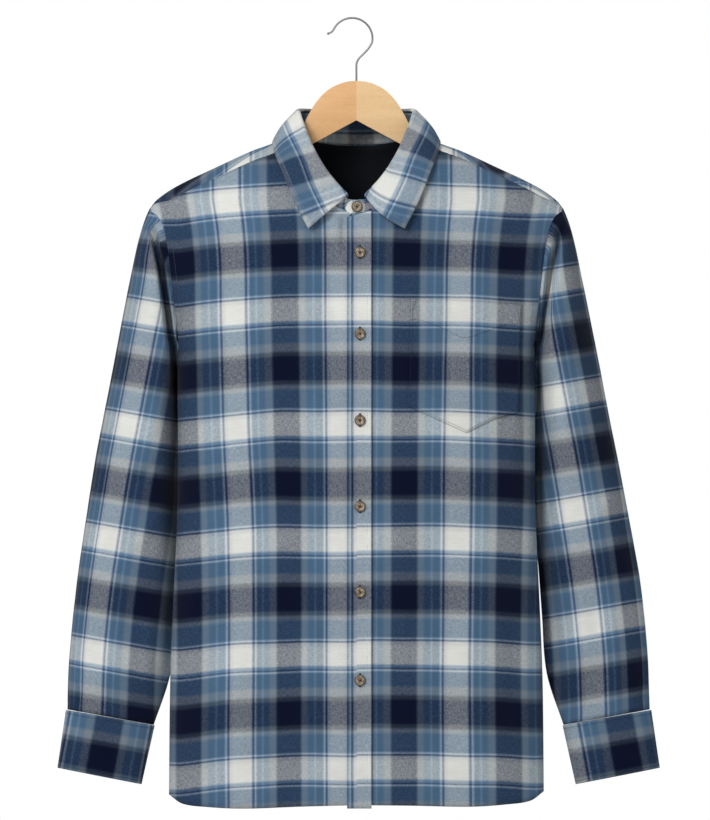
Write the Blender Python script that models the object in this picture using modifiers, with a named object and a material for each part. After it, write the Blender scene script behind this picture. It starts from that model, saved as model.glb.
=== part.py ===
"""Button-front flannel shirt hanging on a two-piece wooden hanger with a bent wire hook.

Metres, +Z up. The front faces -Y, the wearer's left is at +X, and the origin is the inner top of
the hook's bend, where a rail carries it. Each panel is a grid of cloth laid on one body surface.
"""
from collections import namedtuple
from math import asin, cos, exp, pi, radians, sin, sqrt

import bmesh
import bpy
from mathutils import Vector

# ---------------------------------------------------------------- driving sizes
CLOTH = 0.0014            # brushed cotton, with its turned seams
DOUBLE = 0.0020           # collar, placket and cuffs have two layers and interlining
NECK_GAP = 0.0006
SEAM = 0.0003             # clearance where pieces are sewn together
SIDE_SEAM = 0.0004
STAND_DROP = 0.0021       # the stand's top below the middle of the leaf's roll
STAND_GAP = 0.0008        # round the curved edges of the collar stand
CURVED_SEAM = 0.0005      # each side of a seam over the shoulder, where facets turn
ARMHOLE_GAP = 0.0013      # between the armhole's edge and the sleeve's
GARMENT_X = 0.005         # the hook's bend stands this far to one side of its stem
SIDE_POWER = 2.4          # squareness of the body's section
SLEEVE_POWER = 2.2
SHOULDER_FALL = 0.10      # height over which the cloth rolls over the shoulder
SHOULDER_TIP = 0.2335
TIP_HEIGHT = -0.2140
ARMPIT_HEIGHT = -0.3715
YOKE_DROP = 0.0120        # front yoke seam below the shoulder ridge
YOKE_CORNER = 0.0740      # where the front yoke seam meets the neck
YOKE_BACK = -0.2325
YOKE_BACK_RISE = 0.010    # the back seam curves up to the armhole
YOKE_NECK_SHARE = 0.42    # share of the yoke's half width that runs along the neck
YOKE_NECK_END = 0.56      # station of the collar where the yoke's neck edge ends
PLACKET_EDGE = -0.0106
PLACKET_SEAM = 0.0171
PLACKET_TOP = -0.2226
PLACKET_RISE = 0.0030     # the placket's top climbs towards its seam
PLACKET_FOOT = -0.8938
NECK_FRONT = -0.2205
LINING_GAP = 0.0034
UNDER_FRONT_EDGE = 0.0150
FRONT_COLUMNS = 18
NECK_COLUMNS = 8
ROLL_RADIUS = 0.0032      # the collar leaf turns over its stand
LEAF_ROWS = 10
ROLL_ROWS = 4
LEAF_BOW = 0.004          # how far the leaf bows out between its roll and its edge
TAB_END = 0.0217          # how far the outer end of the stand runs past the leaf
UNDER_TAB_END = 0.0170
TAB_STEP = 0.1            # metres of tab for one whole step past the leaf's end
TAB_NARROWING = 0.0035
TAB_ROUND = 0.0075        # length over which the tab's end is rounded
BUTTON_RADIUS = 0.0060
BUTTON_THICK = 0.0022
BUTTON_X = 0.0041
TAB_BUTTON_X = 0.0007
BUTTON_HEIGHTS = (-0.2646, -0.3568, -0.4547, -0.5520, -0.6490, -0.7487)
HANGER_THICK = 0.0140
HANGER_END = 0.1960
HANGER_CLEAR = 0.0038     # wood below the ridge of the cloth, whose wall takes half of it
WIRE_RADIUS = 0.0012
BEND_RADIUS = 0.0232
BEND_X = -0.0050

Section = namedtuple("Section", "height half_width armhole front_depth back_depth")
BODY = (
    Section(-0.1000, 0.2460, 0.2335, 0.0600, 0.0600),
    Section(-0.2140, 0.2440, 0.2335, 0.0660, 0.0620),
    Section(-0.2240, 0.2430, 0.2248, 0.0665, 0.0622),
    Section(-0.2350, 0.2410, 0.2192, 0.0670, 0.0625),
    Section(-0.2520, 0.2375, 0.2150, 0.0675, 0.0628),
    Section(-0.2700, 0.2330, 0.2124, 0.0680, 0.0630),
    Section(-0.3050, 0.2220, 0.2085, 0.0690, 0.0635),
    Section(-0.3440, 0.2085, 0.2040, 0.0690, 0.0635),
    Section(-0.3715, 0.2028, 0.2028, 0.0690, 0.0635),
    Section(-0.4600, 0.2025, 0.2025, 0.0680, 0.0630),
    Section(-0.5600, 0.2030, 0.2030, 0.0660, 0.0620),
    Section(-0.6600, 0.2075, 0.2075, 0.0640, 0.0610),
    Section(-0.7500, 0.2110, 0.2110, 0.0620, 0.0600),
    Section(-0.9000, 0.2125, 0.2125, 0.0600, 0.0590),
)

Ridge = namedtuple("Ridge", "across height")
RIDGE = (
    Ridge(0.0000, -0.1030),
    Ridge(0.0740, -0.1325),
    Ridge(0.0966, -0.1416),
    Ridge(0.1192, -0.1498),
    Ridge(0.1656, -0.1712),
    Ridge(0.1905, -0.1828),
    Ridge(0.2119, -0.1945),
    Ridge(0.2278, -0.2065),
    Ridge(0.2335, -0.2140),
    Ridge(0.2600, -0.2500),
)

Hem = namedtuple("Hem", "across height")
HEM_STATION = -0.88       # height at which the hem reads the body's width
HEM = (
    Hem(0.00, -0.8900),
    Hem(0.30, -0.8912),
    Hem(0.60, -0.8930),
    Hem(0.80, -0.8908),
    Hem(0.93, -0.8868),
    Hem(1.00, -0.8765),
)

# One row for each station from the middle of the back (0) to the front end of the leaf (1).
Collar = namedtuple("Collar", "along seam_x seam_z roll_x roll_y roll_z edge_x edge_y edge_z")
COLLAR = (
    Collar(0.00, 0.0000, -0.1425, 0.0000, 0.0560, -0.1016, 0.0000, 0.0700, -0.1500),
    Collar(0.15, 0.0330, -0.1410, 0.0300, 0.0510, -0.1016, 0.0370, 0.0660, -0.1490),
    Collar(0.30, 0.0600, -0.1355, 0.0540, 0.0340, -0.1014, 0.0690, 0.0480, -0.1460),
    Collar(0.42, 0.0740, -0.1325, 0.0652, 0.0105, -0.1016, 0.0900, 0.0200, -0.1405),
    Collar(0.52, 0.0765, -0.1372, 0.0655, -0.0130, -0.1060, 0.0952, -0.0100, -0.1400),
    Collar(0.62, 0.0720, -0.1500, 0.0585, -0.0320, -0.1250, 0.0925, -0.0340, -0.1530),
    Collar(0.74, 0.0600, -0.1740, 0.0470, -0.0500, -0.1500, 0.0850, -0.0560, -0.1710),
    Collar(0.87, 0.0370, -0.2030, 0.0300, -0.0620, -0.1760, 0.0720, -0.0700, -0.2040),
    Collar(1.00, 0.0095, -0.2195, 0.0095, -0.0670, -0.1985, 0.0548, -0.0760, -0.2380),
)

# One row for each section from the armhole (0) to the cuff (1): outer and inner ends, half depth.
# Below the armpit the sleeve hangs a little behind the body's side.
Sleeve = namedtuple("Sleeve", "along outer_x outer_z inner_x inner_z half_depth set_back")
SLEEVE = (
    Sleeve(0.00, 0.2342, -0.2150, 0.2036, -0.3725, 0.0480, 0.0000),
    Sleeve(0.08, 0.2478, -0.2520, 0.2036, -0.3850, 0.0570, 0.0050),
    Sleeve(0.17, 0.2575, -0.3000, 0.2036, -0.4120, 0.0620, 0.0130),
    Sleeve(0.28, 0.2702, -0.3650, 0.2016, -0.4550, 0.0620, 0.0220),
    Sleeve(0.40, 0.2836, -0.4350, 0.2012, -0.5050, 0.0590, 0.0250),
    Sleeve(0.52, 0.2965, -0.5020, 0.2012, -0.5560, 0.0540, 0.0250),
    Sleeve(0.65, 0.3085, -0.5750, 0.2034, -0.6150, 0.0480, 0.0220),
    Sleeve(0.78, 0.3190, -0.6450, 0.2068, -0.6780, 0.0410, 0.0180),
    Sleeve(0.90, 0.3265, -0.7200, 0.2122, -0.7420, 0.0320, 0.0130),
    Sleeve(1.00, 0.3288, -0.7822, 0.2310, -0.7998, 0.0205, 0.0090),
)
CUFF = (
    Sleeve(0.00, 0.3306, -0.7828, 0.2300, -0.8004, 0.0220, 0.0090),
    Sleeve(1.00, 0.3402, -0.8463, 0.2448, -0.8650, 0.0230, 0.0080),
)

# The sleeve's cap folds back just outside the armhole seam.
Valley = namedtuple("Valley", "height across depth")
CAP_VALLEY = (
    Valley(-0.2200, 0.2330, 0.0000),
    Valley(-0.2450, 0.2280, 0.0090),
    Valley(-0.2800, 0.2215, 0.0130),
    Valley(-0.3200, 0.2160, 0.0100),
    Valley(-0.3500, 0.2115, 0.0035),
    Valley(-0.3750, 0.2080, 0.0000),
)
VALLEY_WIDTH = 0.0055

# Long soft folds of the body: a positive height stands proud.
Fold = namedtuple("Fold", "across top bottom width height")
FRONT_FOLDS = (
    Fold(-0.145, -0.52, -0.95, 0.022, 0.0034),
    Fold(-0.082, -0.60, -0.95, 0.018, -0.0022),
    Fold(0.095, -0.56, -0.95, 0.020, -0.0024),
    Fold(0.150, -0.50, -0.95, 0.022, 0.0030),
    Fold(-0.165, -0.24, -0.44, 0.016, -0.0022),
    Fold(0.168, -0.23, -0.42, 0.016, -0.0020),
)
BACK_FOLDS = (
    Fold(-0.120, -0.26, -0.95, 0.026, 0.0036),
    Fold(-0.030, -0.30, -0.95, 0.024, -0.0028),
    Fold(0.060, -0.27, -0.95, 0.026, 0.0032),
    Fold(0.138, -0.36, -0.95, 0.022, -0.0026),
)

PocketEdge = namedtuple("PocketEdge", "along across bottom")
POCKET = (
    PocketEdge(0.00, 0.0584, -0.4384),
    PocketEdge(0.135, 0.0753, -0.4458),
    PocketEdge(0.52, 0.1240, -0.4682),
    PocketEdge(0.79, 0.1568, -0.4520),
    PocketEdge(1.00, 0.1839, -0.4452),
)
POCKET_LIFT = 0.0012
POCKET_TOP = (Vector((0.0618, 0, -0.3156)), Vector((0.1873, 0, -0.3240)))

Arm = namedtuple("Arm", "across top")
HANGER_TOP = (
    Arm(0.0000, -0.0701),
    Arm(0.0110, -0.0712),
    Arm(0.0230, -0.0752),
    Arm(0.0339, -0.0818),
    Arm(0.0446, -0.0930),
    Arm(0.0540, -0.1080),
    Arm(0.0600, -0.1200),
    Arm(0.0650, -0.1305),
    Arm(0.0710, -0.1372),
    Arm(0.0860, -0.1415),
)
NOTCH_HEIGHT = -0.1149
ARM_SLOPE = 0.537         # fall of the hanger's lower edge

# ---------------------------------------------------------------- reading the tables


def read(table, name, at):
    """A smooth curve through one column of a table whose first column is the key."""
    rows = sorted((row[0], getattr(row, name)) for row in table)
    at = min(max(at, rows[0][0]), rows[-1][0])
    last = len(rows) - 1
    place = next((i for i in range(last) if at <= rows[i + 1][0]), last - 1)

    def slope(i):
        before, after = rows[max(i - 1, 0)], rows[min(i + 1, last)]
        return (after[1] - before[1]) / (after[0] - before[0])

    (start, low), (end, high) = rows[place], rows[place + 1]
    span = end - start
    t = (at - start) / span
    rise = 3 * t * t - 2 * t ** 3
    leave = (t ** 3 - 2 * t * t + t) * span * slope(place)
    arrive = (t ** 3 - t * t) * span * slope(place + 1)
    return low + (high - low) * rise + leave + arrive


def ease(value):
    """0 to 1 with soft ends."""
    value = min(max(value, 0.0), 1.0)
    return value * value * (3 - 2 * value)


def mix(first, second, share):
    return first + (second - first) * share


def power(value, exponent):
    """A signed power, which squares up an ellipse."""
    return abs(value) ** exponent * (1 if value >= 0 else -1)


# ---------------------------------------------------------------- the body's surface


def ridge(x):
    return read(RIDGE, "height", abs(x))


def folds(table, x, z):
    total = 0.0
    for fold in table:
        reach = ease((fold.top - z) / 0.12) * ease((z - fold.bottom) / 0.03 + 1)
        total += fold.height * reach * exp(-((x - fold.across) / fold.width) ** 2)
    return total


def body_y(x, z, back=False, out=0.0):
    """Depth of the cloth's outer face at a point seen from the front."""
    width = read(BODY, "half_width", z) + out
    depth = read(BODY, "back_depth" if back else "front_depth", z) + out
    fall = min(max((ridge(x) + out - z) / SHOULDER_FALL, 0.0), 1.0)
    over = sqrt(1 - (1 - fall) ** 2)
    side = max(0.0, 1 - abs(x / width) ** SIDE_POWER) ** (1 / SIDE_POWER)
    proud = folds(BACK_FOLDS if back else FRONT_FOLDS, x, z) * side
    return (depth * side * over + proud) * (1 if back else -1)


def roll_point(x, angle):
    """A point of the shoulder: the angle turns from the front (-90) over the ridge to the back."""
    z = ridge(x) - SHOULDER_FALL * (1 - cos(angle))
    y = body_y(x, z, back=angle > 0)
    return Vector((x, y, z))


def roll_angle(x, z):
    return asin(min(1.0, sqrt(max(0.0, 1 - (1 - (ridge(x) - z) / SHOULDER_FALL) ** 2))))


def shoulder_height(x, y):
    """Height of the shoulder's cloth at a point seen from above."""
    lean = min(1.0, abs(y) / abs(body_y(x, ridge(x) - SHOULDER_FALL, back=y > 0)))
    return ridge(x) - SHOULDER_FALL * (1 - sqrt(1 - lean * lean))


def armhole(z):
    return read(BODY, "armhole", z)


def hem_height(x):
    return read(HEM, "height", min(abs(x) / read(BODY, "half_width", HEM_STATION), 1.0))


def neck_height(x):
    """Height of the front neck seam: the collar's stations that lie in front of the shoulder."""
    front_x = COLLAR[-1].seam_x
    if x <= front_x:
        return mix(NECK_FRONT, COLLAR[-1].seam_z, x / front_x)
    near, far = 1.0, 0.53
    for _ in range(24):
        middle = (near + far) / 2
        if read(COLLAR, "seam_x", middle) < x:
            near = middle
        else:
            far = middle
    return read(COLLAR, "seam_z", near)


def yoke_seam(x):
    drop = YOKE_DROP * ease((SHOULDER_TIP - x) / 0.030 + 0.12)
    return ridge(x) - drop


def front_top(x):
    x = abs(x)
    return neck_height(x) if x < YOKE_CORNER else yoke_seam(x)


def top_of_column(inner, share):
    """Height where a column of the front panel meets the neck or the yoke."""
    z = TIP_HEIGHT
    for _ in range(60):
        z = front_top(mix(inner, armhole(z), share))
    return z


# ---------------------------------------------------------------- objects and materials


def finish(name, colour, roughness, metallic=0.0):
    material = bpy.data.materials.new(name)
    material.use_nodes = True
    shader = material.node_tree.nodes["Principled BSDF"]
    shader.inputs["Base Color"].default_value = (*colour, 1.0)
    shader.inputs["Roughness"].default_value = roughness
    shader.inputs["Metallic"].default_value = metallic
    material.diffuse_color = (*colour, 1.0)
    return material


def place(mesh_object, material):
    mesh_object.data.materials.clear()
    mesh_object.data.materials.append(material)
    for other in mesh_object.users_collection:
        other.objects.unlink(mesh_object)
    shirt.objects.link(mesh_object)
    mesh_object.parent = garment
    return mesh_object


def cloth(name, shape, columns, rows, wall, material, closed=False):
    """A grid reshaped by a function of its two shares, with a wall grown inwards."""
    grid = bmesh.new()
    bmesh.ops.create_grid(grid, x_segments=columns, y_segments=rows, size=0.5)
    for vertex in grid.verts:
        vertex.co = shape(vertex.co.x + 0.5, vertex.co.y + 0.5)
    if closed:
        bmesh.ops.remove_doubles(grid, verts=grid.verts, dist=0.00002)
    mesh = bpy.data.meshes.new(name)
    grid.to_mesh(mesh)
    grid.free()
    mesh.shade_smooth()
    panel = bpy.data.objects.new(name, mesh)
    place(panel, material)
    thickness = panel.modifiers.new("wall", "SOLIDIFY")
    thickness.thickness = wall
    thickness.offset = -1
    return panel


# ---------------------------------------------------------------- body panels


def column_share(u, corner_share):
    """Columns bunch towards the side, and one falls on the corner of the yoke."""
    corner = NECK_COLUMNS / FRONT_COLUMNS
    if u < corner + 1e-6:
        return corner_share * u / corner
    return mix(corner_share, 1, power(sin((u - corner) / (1 - corner) * pi / 2), 0.85))


def front_panel(side, inner):
    corner_share = (YOKE_CORNER - inner) / (SHOULDER_TIP - inner)

    def shape(u, v):
        # u runs from the centre to the side, v from the hem to the top
        share = column_share(u, corner_share)
        top = top_of_column(inner, share) - (NECK_GAP if share < corner_share else CURVED_SEAM)
        z_hem = hem_height(mix(inner, armhole(HEM_STATION), share))
        z = mix(z_hem, top, 1 - (1 - v) ** 1.35)
        x = mix(inner, armhole(z), share)
        y = body_y(side * x, z)
        if u > 0.999:
            y -= SIDE_SEAM if z < ARMPIT_HEIGHT else 0.0
        return Vector((side * x, y, z))

    return shape


def right_front(u, v):
    return front_panel(-1, -UNDER_FRONT_EDGE)(1 - u, v)


def left_front(u, v):
    return front_panel(1, PLACKET_SEAM + SEAM)(u, v)


def placket(u, v):
    x = mix(PLACKET_EDGE, PLACKET_SEAM, u)
    z = mix(PLACKET_FOOT, PLACKET_TOP + PLACKET_RISE * u, v)
    return Vector((x, body_y(x, z, out=SEAM + DOUBLE), z))


def back_seam(x):
    return YOKE_BACK + YOKE_BACK_RISE * (abs(x) / SHOULDER_TIP) ** 2


def back_panel(u, v):
    share = power(sin((u - 0.5) * pi), 0.85)
    z_top = back_seam(share * 0.21) - SEAM
    z = mix(hem_height(share * armhole(HEM_STATION)), z_top, 1 - (1 - v) ** 1.2)
    x = -share * armhole(z)
    y = body_y(x, z, back=True)
    if u < 0.001 or u > 0.999:
        y += SIDE_SEAM if z < ARMPIT_HEIGHT else 0.0
    return Vector((x, y, z))


def neck_point(along):
    """A point of the neck seam, from the middle of the back (0) to the front (1)."""
    x, z = read(COLLAR, "seam_x", along), read(COLLAR, "seam_z", along)
    turn = roll_angle(x, z) * (1 if along < 0.42 else -1)
    if turn < 0 and ridge(x) - z > SHOULDER_FALL:
        return Vector((x, body_y(x, z), z))
    return roll_point(x, turn)


def yoke(u, v):
    """u runs across the back from wearer's left to right, v from the back seam to the neck."""
    side = 1 if u < 0.5 else -1
    across = abs(u - 0.5) * 2
    if across < YOKE_NECK_SHARE:
        inner = neck_point(across / YOKE_NECK_SHARE * YOKE_NECK_END)
        start_x, z = inner.x, inner.z
        start = roll_angle(start_x, z) * (1 if inner.y > 0 else -1)
    else:
        share = (across - YOKE_NECK_SHARE) / (1 - YOKE_NECK_SHARE)
        start_x = mix(YOKE_CORNER + 0.0015, SHOULDER_TIP, share)
        start = -roll_angle(start_x, yoke_seam(start_x) + CURVED_SEAM)
    end_x = across ** 0.9 * armhole(back_seam(0.2))
    end = roll_angle(end_x, back_seam(end_x) + SEAM)
    x = mix(end_x, start_x, v)
    angle = mix(end, start, v)
    if ridge(end_x) - back_seam(end_x) > SHOULDER_FALL:
        # below the shoulder's roll the yoke hangs straight to its seam
        z_end = back_seam(end_x) + SEAM
        z_roll = ridge(x) - SHOULDER_FALL * (1 - cos(angle))
        z = mix(z_end, z_roll, v ** 0.8) if v < 1 else z_roll
        if angle > 0:
            return Vector((side * x, body_y(side * x, z, back=True), z))
    point = roll_point(x, angle)
    return Vector((side * x, body_y(side * x, point.z, back=angle > 0), point.z))


def yoke_lining(u, v):
    side = 1 if u < 0.5 else -1
    across = abs(u - 0.5) * 2
    x_top = across * 0.150
    neck = neck_point(min(across * 0.76, 0.36))
    z_top = neck.z if across < 0.46 else ridge(x_top) - 0.016
    z_top = min(z_top, ridge(x_top) - 0.012) - 0.001
    x = mix(across * 0.185, x_top, v)
    z = mix(back_seam(x) + 0.002, z_top, v)
    return Vector((side * x, body_y(side * x, z, back=True, out=-CLOTH - LINING_GAP), z))


# ---------------------------------------------------------------- collar


def outward(along):
    x, y = read(COLLAR, "roll_x", along), read(COLLAR, "roll_y", along)
    return Vector((x, y + 0.004, 0)).normalized()


def roll_centre(along):
    x, y, z = (read(COLLAR, name, along) for name in ("roll_x", "roll_y", "roll_z"))
    return Vector((x, y, z - ROLL_RADIUS))


def leaf_half(along, down):
    turn_share = ROLL_ROWS / LEAF_ROWS
    centre = roll_centre(along)
    out = outward(along)

    roll_end = radians(25)

    def around(turn):
        return centre + ROLL_RADIUS * (cos(turn) * out + Vector((0, 0, sin(turn))))

    if down < turn_share:
        return around(mix(pi, roll_end, down / turn_share))
    share = (down - turn_share) / (1 - turn_share)
    edge = Vector([read(COLLAR, name, along) for name in ("edge_x", "edge_y", "edge_z")])
    start = around(roll_end)
    point = mix(start, edge, share) + out * LEAF_BOW * sin(pi * share)
    clear = DOUBLE + STAND_GAP
    if 0.34 < along < 0.60:
        point.z = max(point.z, shoulder_height(point.x, point.y) + clear)
    elif point.z < ridge(point.x) + clear:
        back = along < 0.46
        rest = body_y(point.x, point.z, back=back, out=clear)
        point.y = max(point.y, rest) if back else min(point.y, rest)
    return point


def collar_leaf(u, v):
    """u runs from the wearer's left end round the back to the right end, v up to the stand."""
    signed = (0.5 - u) * 2
    point = leaf_half(abs(signed), 1 - v)
    return Vector((point.x * (1 if signed >= 0 else -1), point.y, point.z))


def collar_stand(u, v):
    reach_right, reach_left = 1.0 + UNDER_TAB_END / TAB_STEP, 1.0 + TAB_END / TAB_STEP
    signed = mix(reach_left, -reach_right, u)
    side = 1 if signed >= 0 else -1
    along = min(abs(signed), 1.0)
    past = max(abs(signed) - 1.0, 0.0) * TAB_STEP
    low = neck_point(along) + Vector((0, 0, STAND_GAP))
    top = roll_centre(along) - outward(along) * (ROLL_RADIUS - DOUBLE) - Vector((0, 0, STAND_DROP))
    top.z -= STAND_GAP * ease((along - 0.86) / 0.10)
    end = TAB_END if side > 0 else UNDER_TAB_END
    if past > 0:
        low.z = mix(low.z, NECK_FRONT + 0.0006, ease(past / 0.006))
        top.z -= TAB_NARROWING * ease(past / end)
        into_round = max(0.0, (past - end + TAB_ROUND) / TAB_ROUND)
        round_off = max(0.12, sqrt(max(0.0, 1 - into_round ** 2)))
        middle = (low.z + top.z) / 2
        low.z, top.z = mix(middle, low.z, round_off), mix(middle, top.z, round_off)
    point = mix(low, top, v)
    point.x = side * (point.x - past)
    if side < 0:
        point.y += (DOUBLE + 2 * SEAM) * ease((along - 0.80) / 0.18)
    return point


# ---------------------------------------------------------------- sleeves


def armhole_ring(angle):
    """The seam round the armhole: 0 at the shoulder tip, a half turn at the armpit."""
    middle, half = (TIP_HEIGHT + ARMPIT_HEIGHT) / 2, (TIP_HEIGHT - ARMPIT_HEIGHT) / 2
    z = middle + half * cos(angle)
    x = armhole(z)
    y = body_y(x, z, back=sin(angle) > 0)
    return Vector((x + ARMHOLE_GAP, y, z))


def tube_section(table, along, angle):
    outer = Vector((read(table, "outer_x", along), 0, read(table, "outer_z", along)))
    inner = Vector((read(table, "inner_x", along), 0, read(table, "inner_z", along)))
    depth = read(table, "half_depth", along)
    reach = power(cos(angle), 2 / SLEEVE_POWER)
    sideways = power(sin(angle), 2 / SLEEVE_POWER)
    back = depth * sideways + read(table, "set_back", along)
    return (outer + inner) / 2 + (outer - inner) / 2 * reach + Vector((0, back, 0))


def cap_valley(x, z):
    across = read(CAP_VALLEY, "across", z)
    return max(0.0, read(CAP_VALLEY, "depth", z)) * exp(-((x - across) / VALLEY_WIDTH) ** 2)


def sleeve_point(around, down):
    angle = around * 2 * pi
    section = tube_section(SLEEVE, down, angle)
    point = mix(armhole_ring(angle), section, ease(down / 0.20))
    if sin(angle) < 0 and down > 0:
        point.y += cap_valley(point.x, point.z) * ease(down / 0.08)
    return point


def sleeve(side):
    def shape(u, v):
        point = sleeve_point(u if side > 0 else 1 - u, (1 - v) ** 1.25)
        return Vector((side * point.x, point.y, point.z))

    return shape


def cuff(side):
    def shape(u, v):
        angle = (u if side > 0 else 1 - u) * 2 * pi
        point = tube_section(CUFF, 1 - v, angle)
        return Vector((side * point.x, point.y, point.z))

    return shape


# ---------------------------------------------------------------- pocket and buttons


def pocket(u, v):
    top = mix(POCKET_TOP[0], POCKET_TOP[1], u)
    rows = list(zip(POCKET, POCKET[1:]))
    low, high = next((pair for pair in rows if u <= pair[1].along + 1e-6))
    share = (u - low.along) / (high.along - low.along)
    x_low, z_low = mix(low.across, high.across, share), mix(low.bottom, high.bottom, share)
    x, z = mix(x_low, top.x, v), mix(z_low, top.z, v)
    return Vector((x, body_y(x, z, out=POCKET_LIFT + CLOTH), z))


def button(name, centre, facing):
    bpy.ops.mesh.primitive_cylinder_add(vertices=18, radius=BUTTON_RADIUS, depth=BUTTON_THICK)
    disc = bpy.context.object
    disc.name = name
    disc.location = centre + facing * (BUTTON_THICK / 2 + SEAM)
    disc.rotation_euler = facing.to_track_quat("Z", "Y").to_euler()
    return place(disc, horn)


# ---------------------------------------------------------------- hanger


def hanger_top(x):
    if x < HANGER_TOP[-1].across:
        return read(HANGER_TOP, "top", x)
    return ridge(x) - HANGER_CLEAR


def hanger_bottom(x):
    return NOTCH_HEIGHT - ARM_SLOPE * x + 0.030 * ease((x - 0.09) / 0.12)


def hanger_half(name, side, material):
    """Half of the hanger: a flat outline, extruded, with a rounded end."""
    gap = SEAM / 2

    def edge_line(height, steps):
        return [(x, height(x)) for x in (mix(gap, HANGER_END, i / steps) for i in range(steps + 1))]

    upper, lower = edge_line(hanger_top, 22), edge_line(hanger_bottom, 14)
    top, bottom = upper[-1][1], lower[-1][1]
    nose = [(HANGER_END + (top - bottom) * 0.32 * sin(turn), mix(top, bottom, (1 - cos(turn)) / 2))
            for turn in (pi * i / 8 for i in range(1, 8))]
    outline = upper + nose + lower[::-1]
    curve = bpy.data.curves.new(name, "CURVE")
    curve.dimensions = "2D"
    curve.fill_mode = "BOTH"
    curve.extrude = HANGER_THICK / 2
    spline = curve.splines.new("POLY")
    spline.points.add(len(outline) - 1)
    spline.use_cyclic_u = True
    for point, (x, z) in zip(spline.points, outline):
        point.co = (side * x, z, 0, 1)
    flat = bpy.data.objects.new(name, curve)
    flat.rotation_euler = (pi / 2, 0, 0)
    weld = flat.modifiers.new("weld", "WELD")
    weld.merge_threshold = 0.00002
    edge = flat.modifiers.new("edge", "BEVEL")
    edge.width = 0.0016
    edge.segments = 2
    edge.limit_method = "ANGLE"
    edge.angle_limit = radians(60)
    return place(flat, material)


def hanger_hook():
    centre_z = WIRE_RADIUS - BEND_RADIUS
    path = [(0.0, -0.0697), (0.0, -0.0620), (0.0, -0.0550), (0.0002, -0.0505), (0.0016, -0.0465)]
    path += [(0.0058, -0.0405), (0.0100, -0.0362)]
    for step in range(19):
        turn = radians(-32 + 187 * step / 18)
        path.append((BEND_X + BEND_RADIUS * cos(turn), centre_z + BEND_RADIUS * sin(turn)))
    path += [(-0.0280, -0.0146), (-0.0306, -0.0160), (-0.0330, -0.0166)]
    curve = bpy.data.curves.new("hanger_hook", "CURVE")
    curve.dimensions = "3D"
    curve.bevel_depth = WIRE_RADIUS
    curve.bevel_resolution = 2
    curve.use_fill_caps = True
    spline = curve.splines.new("POLY")
    spline.points.add(len(path) - 1)
    for point, (x, z) in zip(spline.points, path):
        point.co = (x, 0, z, 1)
    return place(bpy.data.objects.new("hanger_hook", curve), steel)


# ---------------------------------------------------------------- building

for old in list(bpy.data.objects):
    bpy.data.objects.remove(old, do_unlink=True)
shirt = bpy.data.collections.new("flannel_shirt")
bpy.context.scene.collection.children.link(shirt)
garment = bpy.data.objects.new("garment_centre", None)
garment.location = (GARMENT_X, 0, 0)
shirt.objects.link(garment)

plaid = finish("plaid_flannel", (0.16, 0.24, 0.36), 0.9)
plaid_bias = finish("plaid_flannel_collar", (0.24, 0.33, 0.46), 0.9)
dark = finish("dark_lining", (0.01, 0.012, 0.018), 0.85)
horn = finish("brown_horn", (0.20, 0.14, 0.09), 0.35)
beech = finish("beech", (0.80, 0.55, 0.31), 0.4)
steel = finish("steel_wire", (0.62, 0.62, 0.62), 0.3, 1.0)

cloth("front_right", right_front, FRONT_COLUMNS, 16, CLOTH, plaid)
cloth("front_left", left_front, FRONT_COLUMNS, 16, CLOTH, plaid)
cloth("placket", placket, 2, 20, DOUBLE, plaid)
cloth("back", back_panel, 26, 14, CLOTH, plaid)
cloth("yoke", yoke, 36, 11, CLOTH, plaid)
cloth("yoke_lining", yoke_lining, 16, 5, CLOTH, dark)
cloth("collar_leaf", collar_leaf, 36, LEAF_ROWS, DOUBLE, plaid_bias)
cloth("collar_stand", collar_stand, 48, 3, DOUBLE, plaid_bias)
cloth("pocket", pocket, 12, 8, CLOTH, plaid)
for side, name in ((-1, "right"), (1, "left")):
    cloth("sleeve_" + name, sleeve(side), 28, 18, CLOTH, plaid, closed=True)
    cloth("cuff_" + name, cuff(side), 24, 2, DOUBLE, plaid, closed=True)

stand_span = 2.0 + (UNDER_TAB_END + TAB_END) / TAB_STEP
tab_place = (TAB_END - COLLAR[-1].roll_x + TAB_BUTTON_X) / TAB_STEP / stand_span
tab_middle = collar_stand(tab_place, 0.5)
tab_middle.y = min(collar_stand(tab_place, 0.0).y, collar_stand(tab_place, 1.0).y)
button("button_collar", tab_middle, Vector((0, -1, 0)))
for number, height in enumerate(BUTTON_HEIGHTS, 1):
    surface = body_y(BUTTON_X, height, out=SEAM + DOUBLE)
    button(f"button_{number}", Vector((BUTTON_X, surface, height)), Vector((0, -1, 0)))
for side, name in ((-1, "right"), (1, "left")):
    middle = tube_section(CUFF, 0.5, pi / 2)
    button("button_cuff_" + name, Vector((side * middle.x, middle.y, middle.z)), Vector((0, 1, 0)))

hanger_half("hanger_right", -1, beech)
hanger_half("hanger_left", 1, beech)
hanger_hook()
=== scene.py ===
"""Looks of a plaid flannel shirt on its wooden hanger.

Metres, +Z up. The front faces -Y and the wearer's left is at +X. Every cloth panel lies on the
same surface as its solid, in a finer mesh that carries its folds, plaid, nap and stitches.
"""
from bisect import bisect_left
from collections import namedtuple
from functools import lru_cache, partial
from math import acos, asin, cos, exp, hypot, pi, radians, sin, sqrt

import bmesh
import bpy
from mathutils import Matrix, Vector, noise


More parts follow.
